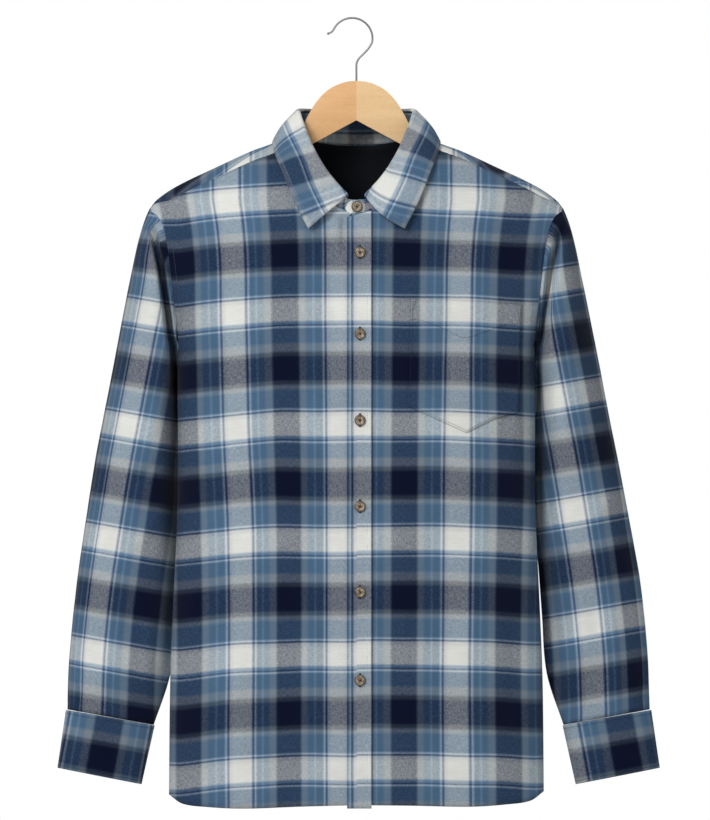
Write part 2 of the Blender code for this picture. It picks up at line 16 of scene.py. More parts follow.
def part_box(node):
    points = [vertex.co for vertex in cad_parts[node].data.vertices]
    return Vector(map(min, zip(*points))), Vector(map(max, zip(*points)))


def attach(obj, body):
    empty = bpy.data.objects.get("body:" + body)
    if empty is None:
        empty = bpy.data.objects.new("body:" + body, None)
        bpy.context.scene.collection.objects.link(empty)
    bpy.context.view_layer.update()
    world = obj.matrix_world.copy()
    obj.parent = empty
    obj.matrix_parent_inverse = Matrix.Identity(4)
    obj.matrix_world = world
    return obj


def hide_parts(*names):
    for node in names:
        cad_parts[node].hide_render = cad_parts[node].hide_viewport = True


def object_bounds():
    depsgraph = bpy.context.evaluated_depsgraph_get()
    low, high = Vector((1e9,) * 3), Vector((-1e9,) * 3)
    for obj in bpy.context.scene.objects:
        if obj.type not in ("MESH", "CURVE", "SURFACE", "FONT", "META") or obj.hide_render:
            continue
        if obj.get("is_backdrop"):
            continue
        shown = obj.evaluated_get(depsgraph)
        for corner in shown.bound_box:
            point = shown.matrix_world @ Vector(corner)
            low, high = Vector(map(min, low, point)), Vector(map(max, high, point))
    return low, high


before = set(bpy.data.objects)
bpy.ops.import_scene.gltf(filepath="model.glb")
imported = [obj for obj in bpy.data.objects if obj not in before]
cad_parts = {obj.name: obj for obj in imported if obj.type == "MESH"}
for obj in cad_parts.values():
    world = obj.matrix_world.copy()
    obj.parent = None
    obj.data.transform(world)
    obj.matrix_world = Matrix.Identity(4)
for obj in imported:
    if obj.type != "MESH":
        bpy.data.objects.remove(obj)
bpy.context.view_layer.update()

# -------- sizes, as in the solids
CLOTH = 0.0014            # brushed cotton, with its turned seams
DOUBLE = 0.0020           # collar, placket and cuffs have two layers and interlining
SEAM = 0.0001             # sewn edges close tighter here than the solids' clearances
HAIR = 0.0001             # stitches lie this far off the cloth
FACE_LIFT = 0.0003        # thread and buttons lie this far off the placket's face
GARMENT_X = 0.005         # the hook's bend stands this far to one side of its stem
SIDE_POWER = 2.4          # squareness of the body's section
SLEEVE_POWER = 2.2
SHOULDER_FALL = 0.10      # height over which the cloth rolls over the shoulder
SHOULDER_TIP = 0.2335
TIP_HEIGHT = -0.2140
ARMPIT_HEIGHT = -0.3715
YOKE_DROP = {-1: 0.0118, 1: 0.0082}   # the yoke comes further forward on the right
YOKE_CORNER = 0.0740
YOKE_BACK = -0.2325
YOKE_BACK_RISE = 0.010
YOKE_NECK_SHARE = 0.42    # share of the yoke's upper edge that lies along the neck
YOKE_NECK_END = 0.56      # the collar's station where that edge ends
BACK_SEAM_HALF = 0.21
LINING_TOP, LINING_FOOT = 0.150, 0.185    # how far the lining reaches out
LINING_DROP = 0.012       # it stays this far under the ridge
HEM_STATION = -0.88
HEM_TURN = 0.0100         # depth of the turned hem
HEM_TILT = 0.0085
PLACKET_EDGE = -0.0106
PLACKET_SEAM = 0.0171
PLACKET_TOP = -0.2248
PLACKET_RISE = 0.0076
PLACKET_FOOT = -0.8938
PLACKET_STITCH = 0.0045   # the rib at each of its edges is this wide
NECK_FRONT = -0.2205
LINING_GAP = 0.0034
UNDER_FRONT_EDGE = 0.0150
ROLL_RADIUS = 0.0032      # the collar leaf turns over its stand
ROLL_SHARE = 0.22         # share of the leaf's rows that the roll takes
ROLL_END = radians(25)
LEAF_BOW = 0.004
LEAF_CLEAR = 0.0008       # the leaf lies this far off the shoulder
FRONT_STATION = 0.42      # collar stations up to here lie behind the shoulder's ridge
ON_SHOULDER = (0.34, 0.60)
LEFT_LEAF_SAG = 0.0062     # the left leaf's front edge hangs in a bow
STAND_DROP = 0.0021
TAB_END = 0.0217
UNDER_TAB_END = 0.0170
TAB_STEP = 0.1
TAB_NARROWING = 0.0012
TAB_ROUND = 0.0095
ARMHOLE_GAP = 0.0004
ARMHOLE_UNDER = 0.0012    # the sleeve's seam starts this far in, under the body's edge
ARMPIT_UNDER = 0.0022     # and this much further in at the armpit
GATHERS = 9               # folds round the sleeve where it is gathered into its cuff
GATHER_HEIGHT = 0.0011
CREASE_IN, CREASE_DOWN = 0.004, 0.012     # the two sleeves' creases lie this far to either side
SLEEVE_LEAN = radians(10)  # the hanging sleeve's axis off plumb
SLEEVE_ROWS = 1.35        # its rows of mesh are closer near the armhole
# Below, -1 is the wearer's right side and 1 the left.
VALLEY_WIDTH = 0.0046     # half width of the armhole's fold on its outer, sleeve side
VALLEY_STEP = 0.0034      # the same on its inner, body side
VALLEY_SHARE = {-1: 1.0, 1: 0.80}
VALLEY_SHARPNESS = {-1: 4.0, 1: 1.7}
INNER_TUCK = {-1: 0.62, 1: 0.78}      # the sleeve's inner edge is tucked back behind the body's
INNER_TUCK_WIDTH = {-1: 0.011, 1: 0.016}
LEAN_TO_LEFT = {-1: -0.0014, 1: 0.0036}   # both sleeves hang a little towards the wearer's left
POCKET_LIFT = 0.0004
HANGER_THICK = 0.0140
HANGER_END = 0.1960
HANGER_CLEAR = 0.0038     # its arms lie this far under the cloth
HANGER_ROUND = 0.0030
NOTCH_HEIGHT = -0.1149
ARM_SLOPE = 0.537


class Table:
    """Smooth curves through the columns of a table in millimetres, whose first column is the key."""

    def __init__(self, names, *rows, to_metres=1000):
        key, *names = names.split()
        self.keys, *columns = zip(*sorted(rows))
        if key != "share":
            self.keys = [place / to_metres for place in self.keys]
        self.columns = {}
        last = len(rows) - 1
        for name, column in zip(names, columns):
            values = [value / to_metres for value in column]
            slopes = []
            for i in range(last + 1):
                before, after = max(i - 1, 0), min(i + 1, last)
                slopes.append((values[after] - values[before]) / (self.keys[after] - self.keys[before]))
            self.columns[name] = (values, slopes)

    def at(self, name, key):
        keys = self.keys
        key = min(max(key, keys[0]), keys[-1])
        i = min(max(bisect_left(keys, key) - 1, 0), len(keys) - 2)
        values, slopes = self.columns[name]
        span = keys[i + 1] - keys[i]
        t = (key - keys[i]) / span
        rise = 3 * t * t - 2 * t ** 3
        leave = (t ** 3 - 2 * t * t + t) * span * slopes[i]
        arrive = (t ** 3 - t * t) * span * slopes[i + 1]
        return values[i] + (values[i + 1] - values[i]) * rise + leave + arrive

    def point(self, name, key):
        """The three columns of a place: name_x, name_y and name_z."""
        return Vector([self.at(name + axis, key) for axis in ("_x", "_y", "_z")])


def in_metres(kind, *rows):
    """Folds or creases from rows typed in millimetres."""
    return [kind(*(value / 1000 for value in row)) for row in rows]


BODY = Table(
    "height half_width armhole front_depth back_depth",
    (-100, 246, 233.5, 60, 60),
    (-214, 244, 233.5, 66, 62),
    (-224, 243, 224.8, 66.5, 62.2),
    (-235, 241, 219.2, 67, 62.5),
    (-252, 237.5, 215, 67.5, 62.8),
    (-270, 233, 212.4, 68, 63),
    (-305, 222, 208.5, 69, 63.5),
    (-344, 208.5, 204, 69, 63.5),
    (-371.5, 202.8, 202.8, 69, 63.5),
    (-460, 202.5, 202.5, 68, 63),
    (-560, 203, 203, 66, 62),
    (-660, 207.5, 207.5, 64, 61),
    (-750, 211, 211, 62, 60),
    (-900, 212.5, 212.5, 60, 59),
)
RIDGE = Table(
    "across height",
    (0, -103), (74, -132.5), (96.6, -141.6), (119.2, -149.8), (165.6, -171.2), (190.5, -182.8),
    (211.9, -194.5), (227.8, -206.5), (233.5, -214), (260, -250),
)
HEM = Table(
    "share height",
    (0, -890), (0.3, -891.2), (0.6, -893), (0.8, -890.8), (0.93, -886.8), (1, -876.5),
)
COLLAR = Table(
    "share seam_x seam_z roll_x roll_y roll_z edge_x edge_y edge_z",
    (0, 0, -142.5, 0, 56, -101.6, 0, 70, -150),
    (0.15, 33, -141, 30, 51, -101.6, 37, 66, -149),
    (0.3, 60, -135.5, 54, 34, -101.4, 69, 48, -146),
    (0.42, 74, -132.5, 65.2, 10.5, -101.6, 90, 20, -140.5),
    (0.52, 76.5, -137.2, 65.5, -13, -106, 95.2, -10, -140),
    (0.62, 72, -150, 58.5, -32, -125, 92.5, -34, -153),
    (0.74, 60, -174, 47, -50, -150, 85, -56, -171),
    (0.87, 37, -203, 30, -62, -176, 72, -70, -204),
    (1, 9.5, -219.5, 9.5, -67, -198.5, 54.8, -76, -238),
)
SLEEVE = Table(
    "share outer_x outer_z inner_x inner_z half_depth set_back",
    (0, 234.2, -215, 203.6, -372.5, 48, 0),
    (0.08, 250.2, -252, 203, -385, 57, 8),
    (0.17, 257.5, -300, 201.4, -412, 62, 17),
    (0.28, 270.2, -365, 199.8, -455, 62, 27),
    (0.4, 283.6, -435, 199.6, -505, 59, 29),
    (0.52, 296.5, -502, 200, -556, 54, 28),
    (0.65, 308.5, -575, 203.4, -615, 48, 22),
    (0.78, 319, -645, 206.8, -678, 41, 18),
    (0.9, 326.5, -720, 212.2, -742, 32, 13),
    (1, 328.8, -782.2, 231, -799.8, 20.5, 9),
)
CUFF = Table(
    "share outer_x outer_z inner_x inner_z half_depth set_back",
    (0, 330.6, -782.8, 230, -800.4, 22, 9),
    (1, 340.2, -846.3, 244.8, -865, 23, 8),
)
OUTER_EDGE = Table("height across", *zip(SLEEVE.columns["outer_z"][0], SLEEVE.columns["outer_x"][0]),
                   to_metres=1)
CAP_VALLEY = Table(
    "height across depth",
    (-230, 233, 0), (-245, 229, 13), (-260, 225.8, 26), (-283, 220.4, 32), (-308, 216.8, 33),
    (-334, 213, 33), (-359, 210, 31), (-371, 207.4, 29), (-400, 205.4, 22), (-450, 204, 13),
    (-540, 203, 7), (-620, 203, 0),
)
POCKET_FOOT = Table(
    "share across bottom",
    (0, 58.4, -438.4), (0.135, 75.3, -445.8), (0.52, 124, -468.2), (0.79, 156.8, -452),
    (1, 183.9, -445.2),
)
POCKET_TOP = (Vector((0.0618, 0, -0.3156)), Vector((0.1873, 0, -0.3240)))
HANGER_TOP = Table(
    "across top",
    (0, -70.1), (11, -71.2), (23, -75.2), (33.9, -81.8), (44.6, -93), (54, -108), (60, -120),
    (65, -130.5), (71, -137.2), (86, -141.5),
)

# -------- folds of the cloth
Fold = namedtuple("Fold", "across top bottom width height")
FRONT_FOLDS = in_metres(
    Fold,
    (-145, -520, -950, 22, 3.4), (-82, -600, -950, 18, -2.2), (95, -560, -950, 20, -2.4),
    (150, -500, -950, 22, 3), (-165, -240, -440, 16, -2.2), (168, -230, -420, 16, -2),
)
BACK_FOLDS = in_metres(
    Fold,
    (-120, -260, -950, 26, 3.6), (-30, -300, -950, 24, -2.8), (60, -270, -950, 26, 3.2),
    (138, -360, -950, 22, -2.6),
)

# Creases run between two places, given by x and height on the front and on the back.
# A positive height stands proud, and each is steeper on one side.
Crease = namedtuple("Crease", "x z to_x to_z width height")
FRONT_CREASES = in_metres(
    Crease,
    (-60, -300, -30, -520, 11, 1.6), (-28, -275, -20, -420, 7, -1.3), (-110, -340, -88, -560, 13, -1.5),
    (-187, -330, -165, -520, 9, 1.8), (-172, -560, -178, -800, 10, -2), (-50, -640, -62, -880, 12, 1.8),
    (-120, -700, -112, -890, 10, -1.6), (45, -480, 58, -760, 13, 1.8), (100, -230, 128, -300, 10, -1),
    (190, -350, 172, -560, 9, 1.8), (176, -600, 180, -850, 10, -2), (120, -640, 126, -880, 12, 1.4),
    (74, -760, 70, -890, 9, -1.4), (-135, -190, -165, -260, 9, 1.1), (140, -195, 172, -270, 9, 1.1),
    (24, -240, 26, -330, 5, -0.8), (-14.5, -214, -15, -270, 4.2, -3), (-26, -214, -25, -262, 6, 1.8),
)
BACK_CREASES = in_metres(
    Crease,
    (-150, -300, -120, -520, 12, -1.8), (-80, -340, -66, -700, 14, 1.8), (10, -300, -4, -620, 12, 1.5),
    (96, -420, 106, -760, 13, -1.7), (170, -330, 158, -560, 10, 1.8), (-176, -600, -180, -860, 11, 1.8),
    (176, -620, 182, -870, 11, -1.8), (40, -680, 34, -880, 12, 1.5),
)
# On a sleeve x is the distance in from its outer edge, and z the height.
SLEEVE_CREASES = in_metres(
    Crease,
    (12, -300, 34, -360, 8, 2), (50, -330, 30, -420, 9, -2), (70, -400, 46, -520, 10, 2.2),
    (20, -430, 26, -540, 9, -1.8), (80, -500, 40, -545, 7, -2), (10, -520, 56, -575, 8, 2.1),
    (84, -560, 50, -620, 8, 2), (30, -590, 18, -690, 8, -2.2), (60, -630, 58, -760, 9, -2),
    (40, -660, 42, -775, 7, 2.1), (82, -680, 84, -780, 8, 1.8), (8, -740, 14, -785, 4, -2.8),
    (7, -764, 8, -800, 3, -4), (22, -745, 24, -785, 4, 1.8),
)

# -------- the body's surface


def ease(value):
    """0 to 1 with soft ends."""
    value = min(max(value, 0.0), 1.0)
    return value * value * (3 - 2 * value)


def mix(first, second, share):
    return first + (second - first) * share


def power(value, exponent):
    """A signed power, which squares up an ellipse."""
    return abs(value) ** exponent * (1 if value >= 0 else -1)


def ridge(x):
    return RIDGE.at("height", abs(x))


def armhole(z):
    return BODY.at("armhole", z)


def fold_height(table, x, z):
    total = 0.0
    for fold in table:
        reach = ease((fold.top - z) / 0.12) * ease((z - fold.bottom) / 0.03 + 1)
        total += fold.height * reach * exp(-((x - fold.across) / fold.width) ** 2)
    return total


def crease_height(table, x, z):
    total = 0.0
    for crease in table:
        run_x, run_z = crease.to_x - crease.x, crease.to_z - crease.z
        length = hypot(run_x, run_z)
        along = ((x - crease.x) * run_x + (z - crease.z) * run_z) / length ** 2
        aside = ((x - crease.x) * run_z - (z - crease.z) * run_x) / length / crease.width
        if 0 < along < 1 and abs(aside) < 3:
            steepness = 1.35 if aside > 0 else 0.8
            total += crease.height * ease(min(along, 1 - along) * 3) * exp(-(aside * steepness) ** 2)
    return total


def unevenness(x, z, seed):
    """Hand-sized waves and small puckers, as all cloth has."""
    wide = noise.noise(Vector((x * 13, z * 7, seed)))
    small = noise.noise(Vector((x * 42, z * 30, seed + 5)))
    return 0.0011 * wide + 0.00030 * small


def body_y(x, z, back=False, out=0.0):
    """Depth of the cloth's outer face at a point seen from the front."""
    width = BODY.at("half_width", z) + out
    depth = BODY.at("back_depth" if back else "front_depth", z) + out
    fall = min(max((ridge(x) + out - z) / SHOULDER_FALL, 0.0), 1.0)
    over = sqrt(1 - (1 - fall) ** 2)
    side = max(0.0, 1 - abs(x / width) ** SIDE_POWER) ** (1 / SIDE_POWER)
    proud = fold_height(BACK_FOLDS if back else FRONT_FOLDS, x, z) * side
    small = crease_height(BACK_CREASES if back else FRONT_CREASES, x, z) + unevenness(x, z, back + 2.1)
    proud += small * min(1.0, side * 1.6) * ease(fall * 4)
    return (depth * side * over + proud) * (1 if back else -1)


def roll_point(x, angle):
    """A point of the shoulder: the angle turns from the front (-90) over the ridge to the back."""
    z = ridge(x) - SHOULDER_FALL * (1 - cos(angle))
    return Vector((x, body_y(x, z, back=angle > 0), z))


def roll_angle(x, z):
    return asin(min(1.0, sqrt(max(0.0, 1 - (1 - (ridge(x) - z) / SHOULDER_FALL) ** 2))))


def shoulder_height(x, y):
    """Height of the shoulder's cloth at a point seen from above."""
    lean = min(1.0, abs(y) / abs(body_y(x, ridge(x) - SHOULDER_FALL, back=y > 0)))
    return ridge(x) - SHOULDER_FALL * (1 - sqrt(1 - lean * lean))


def hem_height(x):
    return HEM.at("height", min(abs(x) / BODY.at("half_width", HEM_STATION), 1.0)) + HEM_TILT * x


def neck_height(x):
    """Height of the front neck seam: the collar's stations that lie in front of the shoulder."""
    front_x, front_z = COLLAR.at("seam_x", 1.0), COLLAR.at("seam_z", 1.0)
    if x <= front_x:
        return mix(NECK_FRONT, front_z, x / front_x)
    near, far = 1.0, 0.53
    for _ in range(24):
        middle = (near + far) / 2
        if COLLAR.at("seam_x", middle) < x:
            near = middle
        else:
            far = middle
    return COLLAR.at("seam_z", near)


def yoke_seam(x, side):
    return ridge(x) - YOKE_DROP[side] * ease((SHOULDER_TIP - x) / 0.030 + 0.12)


def front_top(x, side):
    x = abs(x)
    return neck_height(x) if x < YOKE_CORNER else yoke_seam(x, side)


@lru_cache(maxsize=None)
def top_of_column(inner, share):
    """Height where a column of the front panel meets the neck or the yoke."""
    z = TIP_HEIGHT
    for _ in range(60):
        z = front_top(mix(inner, armhole(z), share), 1 if inner > 0 else -1)
    return z


# -------- body panels
FRONT_COLUMNS, NECK_COLUMNS = 90, 40
FRONT_GRID = (FRONT_COLUMNS, 130)


def hem_swell(z, hem):
    """The turned hem stands a little proud below its stitching."""
    return 0.0005 * ease((hem + HEM_TURN - z) / 0.0012 + 0.5)


def welt(edge, width, height):
    """The swelling between a sewn edge and its stitches."""
    return height * sin(min(edge / width, 1.0) * pi)


def from_left(u, side):
    """Shares of the right side's pieces are counted the other way, so that both face out."""
    return u if side > 0 else 1 - u


def front_panel(u, v, side, inner):
    """u runs from the wearer's right to left, v from the hem to the top."""
    corner_share = (YOKE_CORNER - inner) / (SHOULDER_TIP - inner)
    corner = NECK_COLUMNS / FRONT_COLUMNS
    u = from_left(u, side)
    if u < corner + 1e-6:
        share = corner_share * u / corner
    else:
        share = mix(corner_share, 1, power(sin((u - corner) / (1 - corner) * pi / 2), 0.85))
    hem = hem_height(side * mix(inner, armhole(HEM_STATION), share))
    z = mix(hem, top_of_column(inner, round(share, 6)) - SEAM, 1 - (1 - v) ** 1.25)
    x = mix(inner, armhole(z), share)
    y = body_y(side * x, z, out=hem_swell(z, hem))
    return Vector((side * x, y, z))


def placket(u, v):
    x = mix(PLACKET_EDGE, PLACKET_SEAM, u)
    z = mix(PLACKET_FOOT, PLACKET_TOP + PLACKET_RISE * u, v)
    edge = min(u, 1 - u) * (PLACKET_SEAM - PLACKET_EDGE)
    puffed = welt(edge, PLACKET_STITCH, 0.0005) + 0.0012 * ease((u - 0.7) / 0.3)
    puffed += 0.0002 * noise.noise(Vector((u * 4, z * 160, 3)))
    return Vector((x, body_y(x, z, out=SEAM + DOUBLE + puffed), z))


def halves(u):
    """The side of a piece that spans the back, and the share of the way out from its middle."""
    return (1 if u < 0.5 else -1), abs(u - 0.5) * 2


def back_seam(x):
    return YOKE_BACK + YOKE_BACK_RISE * (abs(x) / SHOULDER_TIP) ** 2


def back_panel(u, v):
    share = power(sin((u - 0.5) * pi), 0.85)
    hem = hem_height(-share * armhole(HEM_STATION))
    z = mix(hem, back_seam(share * BACK_SEAM_HALF) - SEAM, 1 - (1 - v) ** 1.2)
    x = -share * armhole(z)
    return Vector((x, body_y(x, z, back=True, out=hem_swell(z, hem)), z))


def neck_point(along):
    """A point of the neck seam, from the middle of the back (0) to the front (1)."""
    x, z = COLLAR.at("seam_x", along), COLLAR.at("seam_z", along)
    turn = roll_angle(x, z) * (1 if along < FRONT_STATION else -1)
    if turn < 0 and ridge(x) - z > SHOULDER_FALL:
        return Vector((x, body_y(x, z), z))
    return roll_point(x, turn)


def yoke(u, v):
    """u runs across the back from wearer's left to right, v from the back seam to the neck."""
    side, across = halves(u)
    if across < YOKE_NECK_SHARE:
        inner = neck_point(across / YOKE_NECK_SHARE * YOKE_NECK_END)
        start_x, z = inner.x, inner.z
        start = roll_angle(start_x, z) * (1 if inner.y > 0 else -1)
    else:
        share = (across - YOKE_NECK_SHARE) / (1 - YOKE_NECK_SHARE)
        start_x = mix(YOKE_CORNER + 0.0015, SHOULDER_TIP, share)
        start = -roll_angle(start_x, yoke_seam(start_x, side) + SEAM)
    end_x = across ** 0.9 * armhole(back_seam(0.2))
    z_end = back_seam(end_x) + SEAM
    end = roll_angle(end_x, z_end)
    x = mix(end_x, start_x, v)
    angle = mix(end, start, v)
    z = ridge(x) - SHOULDER_FALL * (1 - cos(angle))
    if ridge(end_x) - back_seam(end_x) > SHOULDER_FALL and v < 1:
        # below the shoulder's roll the yoke hangs straight to its seam
        z = mix(z_end, z, v ** 0.8)
    return Vector((side * x, body_y(side * x, z, back=angle > 0), z))


def yoke_lining(u, v):
    side, across = halves(u)
    x_top = across * LINING_TOP
    neck = neck_point(min(across * 0.76, 0.36))
    z_top = neck.z if across < 0.46 else ridge(x_top) - LINING_DROP - 0.004
    z_top = min(z_top, ridge(x_top) - LINING_DROP) - 0.001
    x = mix(across * LINING_FOOT, x_top, v)
    z = mix(back_seam(x) + 0.002, z_top, v)
    return Vector((side * x, body_y(side * x, z, back=True, out=-CLOTH - LINING_GAP), z))


# -------- collar


def outward(along):
    return Vector((COLLAR.at("roll_x", along), COLLAR.at("roll_y", along) + 0.004, 0)).normalized()


def roll_centre(along):
    return COLLAR.point("roll", along) - Vector((0, 0, ROLL_RADIUS))


def leaf_half(along, down):
    """A point of the leaf, from its middle (0) to its end (1) and from its seam (0) to its edge."""
    centre = roll_centre(along)
    out = outward(along)

    def around(turn):
        return centre + ROLL_RADIUS * (cos(turn) * out + Vector((0, 0, sin(turn))))

    if down < ROLL_SHARE:
        return around(mix(pi, ROLL_END, down / ROLL_SHARE))
    share = (down - ROLL_SHARE) / (1 - ROLL_SHARE)
    point = mix(around(ROLL_END), COLLAR.point("edge", along), share) + out * LEAF_BOW * sin(pi * share)
    ripple = noise.noise(Vector((along * 9, share * 2, 8)))
    point += out * (0.0006 * ripple * share + welt(1 - share, 0.12, 0.0004))
    clear = DOUBLE + LEAF_CLEAR
    if ON_SHOULDER[0] < along < ON_SHOULDER[1]:
        point.z = max(point.z, shoulder_height(point.x, point.y) + clear)
    elif point.z < ridge(point.x) + clear:
        back = along < FRONT_STATION
        rest = body_y(point.x, point.z, back=back, out=clear)
        point.y = max(point.y, rest) if back else min(point.y, rest)
    return point


def collar_leaf(u, v):
    """u runs from the wearer's left end round the back to the right end, v up to the stand."""
    signed = (0.5 - u) * 2
    point = leaf_half(abs(signed), 1 - v)
    if signed > 0.8:
        share = max(0.0, (1 - v - ROLL_SHARE) / (1 - ROLL_SHARE))
        point.z -= LEFT_LEAF_SAG * sin(pi * share ** 0.75) * ease((signed - 0.8) / 0.2)
    return Vector((point.x * (1 if signed >= 0 else -1), point.y, point.z))


def collar_stand(u, v):
    """A band from the neck seam up to the leaf's roll, which runs on past the front as a tab."""
    reach_right, reach_left = 1.0 + UNDER_TAB_END / TAB_STEP, 1.0 + TAB_END / TAB_STEP
    signed = mix(reach_left, -reach_right, u)
    side = 1 if signed >= 0 else -1
    along = min(abs(signed), 1.0)
    past = max(abs(signed) - 1.0, 0.0) * TAB_STEP
    low = neck_point(along) + Vector((0, 0, SEAM))
    top = roll_centre(along) - outward(along) * (ROLL_RADIUS - DOUBLE) - Vector((0, 0, STAND_DROP))
    top.z -= 0.0008 * ease((along - 0.86) / 0.10)
    end = TAB_END if side > 0 else UNDER_TAB_END
    if past > 0:
        low.z = mix(low.z, NECK_FRONT + 0.0010, ease(past / 0.006))
        if side > 0:
            low.z -= 0.0046 * ease((past - 0.004) / 0.012)
        top.z -= TAB_NARROWING * ease(past / end)
        into_round = max(0.0, (past - end + TAB_ROUND) / TAB_ROUND)
        round_off = max(0.12, sqrt(max(0.0, 1 - into_round ** 2)))
        middle = (low.z + top.z) / 2
        low.z, top.z = mix(middle, low.z, round_off), mix(middle, top.z, round_off)
    point = mix(low, top, v)
    point.x = side * (point.x - past)
    point.y -= 0.0003 * sin(pi * v)
    if side < 0:
        point.y += (DOUBLE + 0.0006) * ease((along - 0.80) / 0.18)
    return point


# -------- sleeves


def armhole_ring(angle):
    """The seam round the armhole: 0 at the shoulder tip, a half turn at the armpit."""
    middle, half = (TIP_HEIGHT + ARMPIT_HEIGHT) / 2, (TIP_HEIGHT - ARMPIT_HEIGHT) / 2
    z = middle + half * cos(angle)
    under = ease((abs(sin(angle)) - 0.3) / 0.4)
    x = armhole(z) - ARMPIT_UNDER * ease((-cos(angle) - 0.86) / 0.14) - ARMHOLE_UNDER * under
    y = body_y(x, z, back=sin(angle) > 0, out=-(CLOTH + ARMHOLE_GAP) * under)
    return Vector((x + ARMHOLE_GAP, y, z))


def tube_section(table, along, angle):
    """A point round a sleeve or a cuff: 0 is its outer edge, a quarter turn its back."""
    outer = Vector((table.at("outer_x", along), 0, table.at("outer_z", along)))
    inner = Vector((table.at("inner_x", along), 0, table.at("inner_z", along)))
    reach = power(cos(angle), 2 / SLEEVE_POWER)
    sideways = power(sin(angle), 2 / SLEEVE_POWER)
    back = table.at("half_depth", along) * sideways + table.at("set_back", along)
    return (outer + inner) / 2 + (outer - inner) / 2 * reach + Vector((0, back, 0))


def valley_depth(z, side):
    return max(0.0, CAP_VALLEY.at("depth", z)) * VALLEY_SHARE[side]


def cap_valley(x, z, side):
    """How far the cloth dips back into the fold along the armhole."""
    across = CAP_VALLEY.at("across", z)
    width = VALLEY_WIDTH if x > across else VALLEY_STEP
    return valley_depth(z, side) * exp(-(abs(x - across) / width) ** VALLEY_SHARPNESS[side])


def in_from_edge(x, z):
    """How far a point of the sleeve lies in from its outer edge, seen from the front."""
    return (OUTER_EDGE.at("across", z) - x) * cos(SLEEVE_LEAN)


def sleeve_point(around, down, side, creased=True):
    """A point of the left sleeve, or of the right one mirrored, from the armhole (0) to the cuff."""
    angle = around * 2 * pi
    point = mix(armhole_ring(angle), tube_section(SLEEVE, down, angle), ease(down / 0.20))
    facing = sin(angle)
    if facing < 0 and down > 0:
        inner = (point.x - SLEEVE.at("inner_x", down)) / INNER_TUCK_WIDTH[side]
        tuck = INNER_TUCK[side] * exp(-inner ** 2)
        tuck *= ease((-0.37 - point.z) / 0.05) * ease((point.z + 0.80) / 0.08)
        point.y = mix(point.y, SLEEVE.at("set_back", down), tuck)
        point.y += cap_valley(point.x, point.z, side) * ease(down / 0.03)
    swell = 0.0
    if creased:
        swell = crease_height(SLEEVE_CREASES, in_from_edge(point.x, point.z) + CREASE_IN * side,
                              point.z + CREASE_DOWN * side + (0.03 if facing > 0 else 0))
        swell += 1.3 * unevenness(point.x * 1.3, point.z * 1.3, 11 + side + (facing > 0) * 3)
        swell *= ease(down / 0.10) * ease((1 - down) / 0.03 + 0.2)
    point.y += swell * power(facing, 0.6)
    point.x += 0.5 * swell * max(0.0, cos(angle)) ** 2
    point.x += LEAN_TO_LEFT[side] * ease((down - 0.45) / 0.35)
    gather = ease((down - 0.93) / 0.07) * GATHER_HEIGHT
    point.y += gather * sin(angle * GATHERS + 1.3 * side) * power(facing, 0.6)
    return point


def sleeve(u, v, side):
    point = sleeve_point(from_left(u, side), (1 - v) ** SLEEVE_ROWS, side)
    return Vector((side * point.x, point.y, point.z))


def cuff(u, v, side):
    angle = from_left(u, side) * 2 * pi
    point = tube_section(CUFF, 1 - v, angle)
    waver = noise.noise(Vector((cos(angle) * 2, v * 1.5, side * 4))) * 0.0007
    swell = waver + welt(min(v, 1 - v), 0.08, 0.0004)
    point.y += swell * power(sin(angle), 0.6)
    point.x += LEAN_TO_LEFT[side]
    return Vector((side * point.x, point.y, point.z - 0.0020 * (1 - v)))


def pocket(u, v):
    top = mix(POCKET_TOP[0], POCKET_TOP[1], u)
    x = mix(POCKET_FOOT.at("across", u), top.x, v)
    straight = list(zip(POCKET_FOOT.keys, POCKET_FOOT.columns["bottom"][0]))
    low, high = next(pair for pair in zip(straight, straight[1:]) if u <= pair[1][0] + 1e-6)
    foot = mix(low[1], high[1], (u - low[0]) / (high[0] - low[0]))
    z = mix(foot, top.z, v)
    edge = min(u, 1 - u, v + 0.02, 1 - v + 0.03) * 0.12
    puffed = welt(edge, 0.004, 0.0004) + 0.0006 * ease(edge / 0.03) * (1 - v)
    return Vector((x, body_y(x, z, out=POCKET_LIFT + CLOTH + puffed), z))


# -------- where the plaid lies on each piece
WARP_REPEAT = 0.1148
WEFT_REPEAT = 0.1295
ROW_HEIGHT = -0.2664      # middle of a navy row at the centre of the front
# The columns' spread from the middle at each height, in thousandths of their distance.
COLUMN_LEAN = Table(
    "height growth",
    (-205, -86), (-240, -56), (-280, -37), (-340, -30), (-390, -21), (-477, -11), (-562, -1), (-647, 10),
    (-732, 11), (-817, 5), (-900, 3),
)
# Where each piece starts in the repeat, counted from the middle of a navy band.
RIGHT_FRONT_START, LEFT_FRONT_START, BACK_START = 0.0779, -0.0544, 0.012
PLACKET_START, YOKE_START, YOKE_ROW = 0.0485, 0.0765, 0.0885
STAND_DEEP, STAND_ROW = 0.030, 0.0293
WHITE_FROM_RIGHT_POINT = -0.0065      # the white band near each point of the collar
RIGHT_LEAF_RATE = 0.895
WHITE_FROM_LEFT_POINT = 0.0295
WHITE_MIDDLE = 0.0596
LEAF_EDGE_ROW = 0.1062
SLEEVE_ROUNDNESS = 0.055  # radius with which the plaid turns over a sleeve's outer edge
SLEEVE_START = {-1: 0.0001, 1: 0.1486}
SLEEVE_ROW = {-1: 0.4358, 1: 0.3980}
CUFF_START = {-1: 0.0, 1: -0.0125}
CUFF_ROW = 0.0460
CUFF_DEEP = 0.066


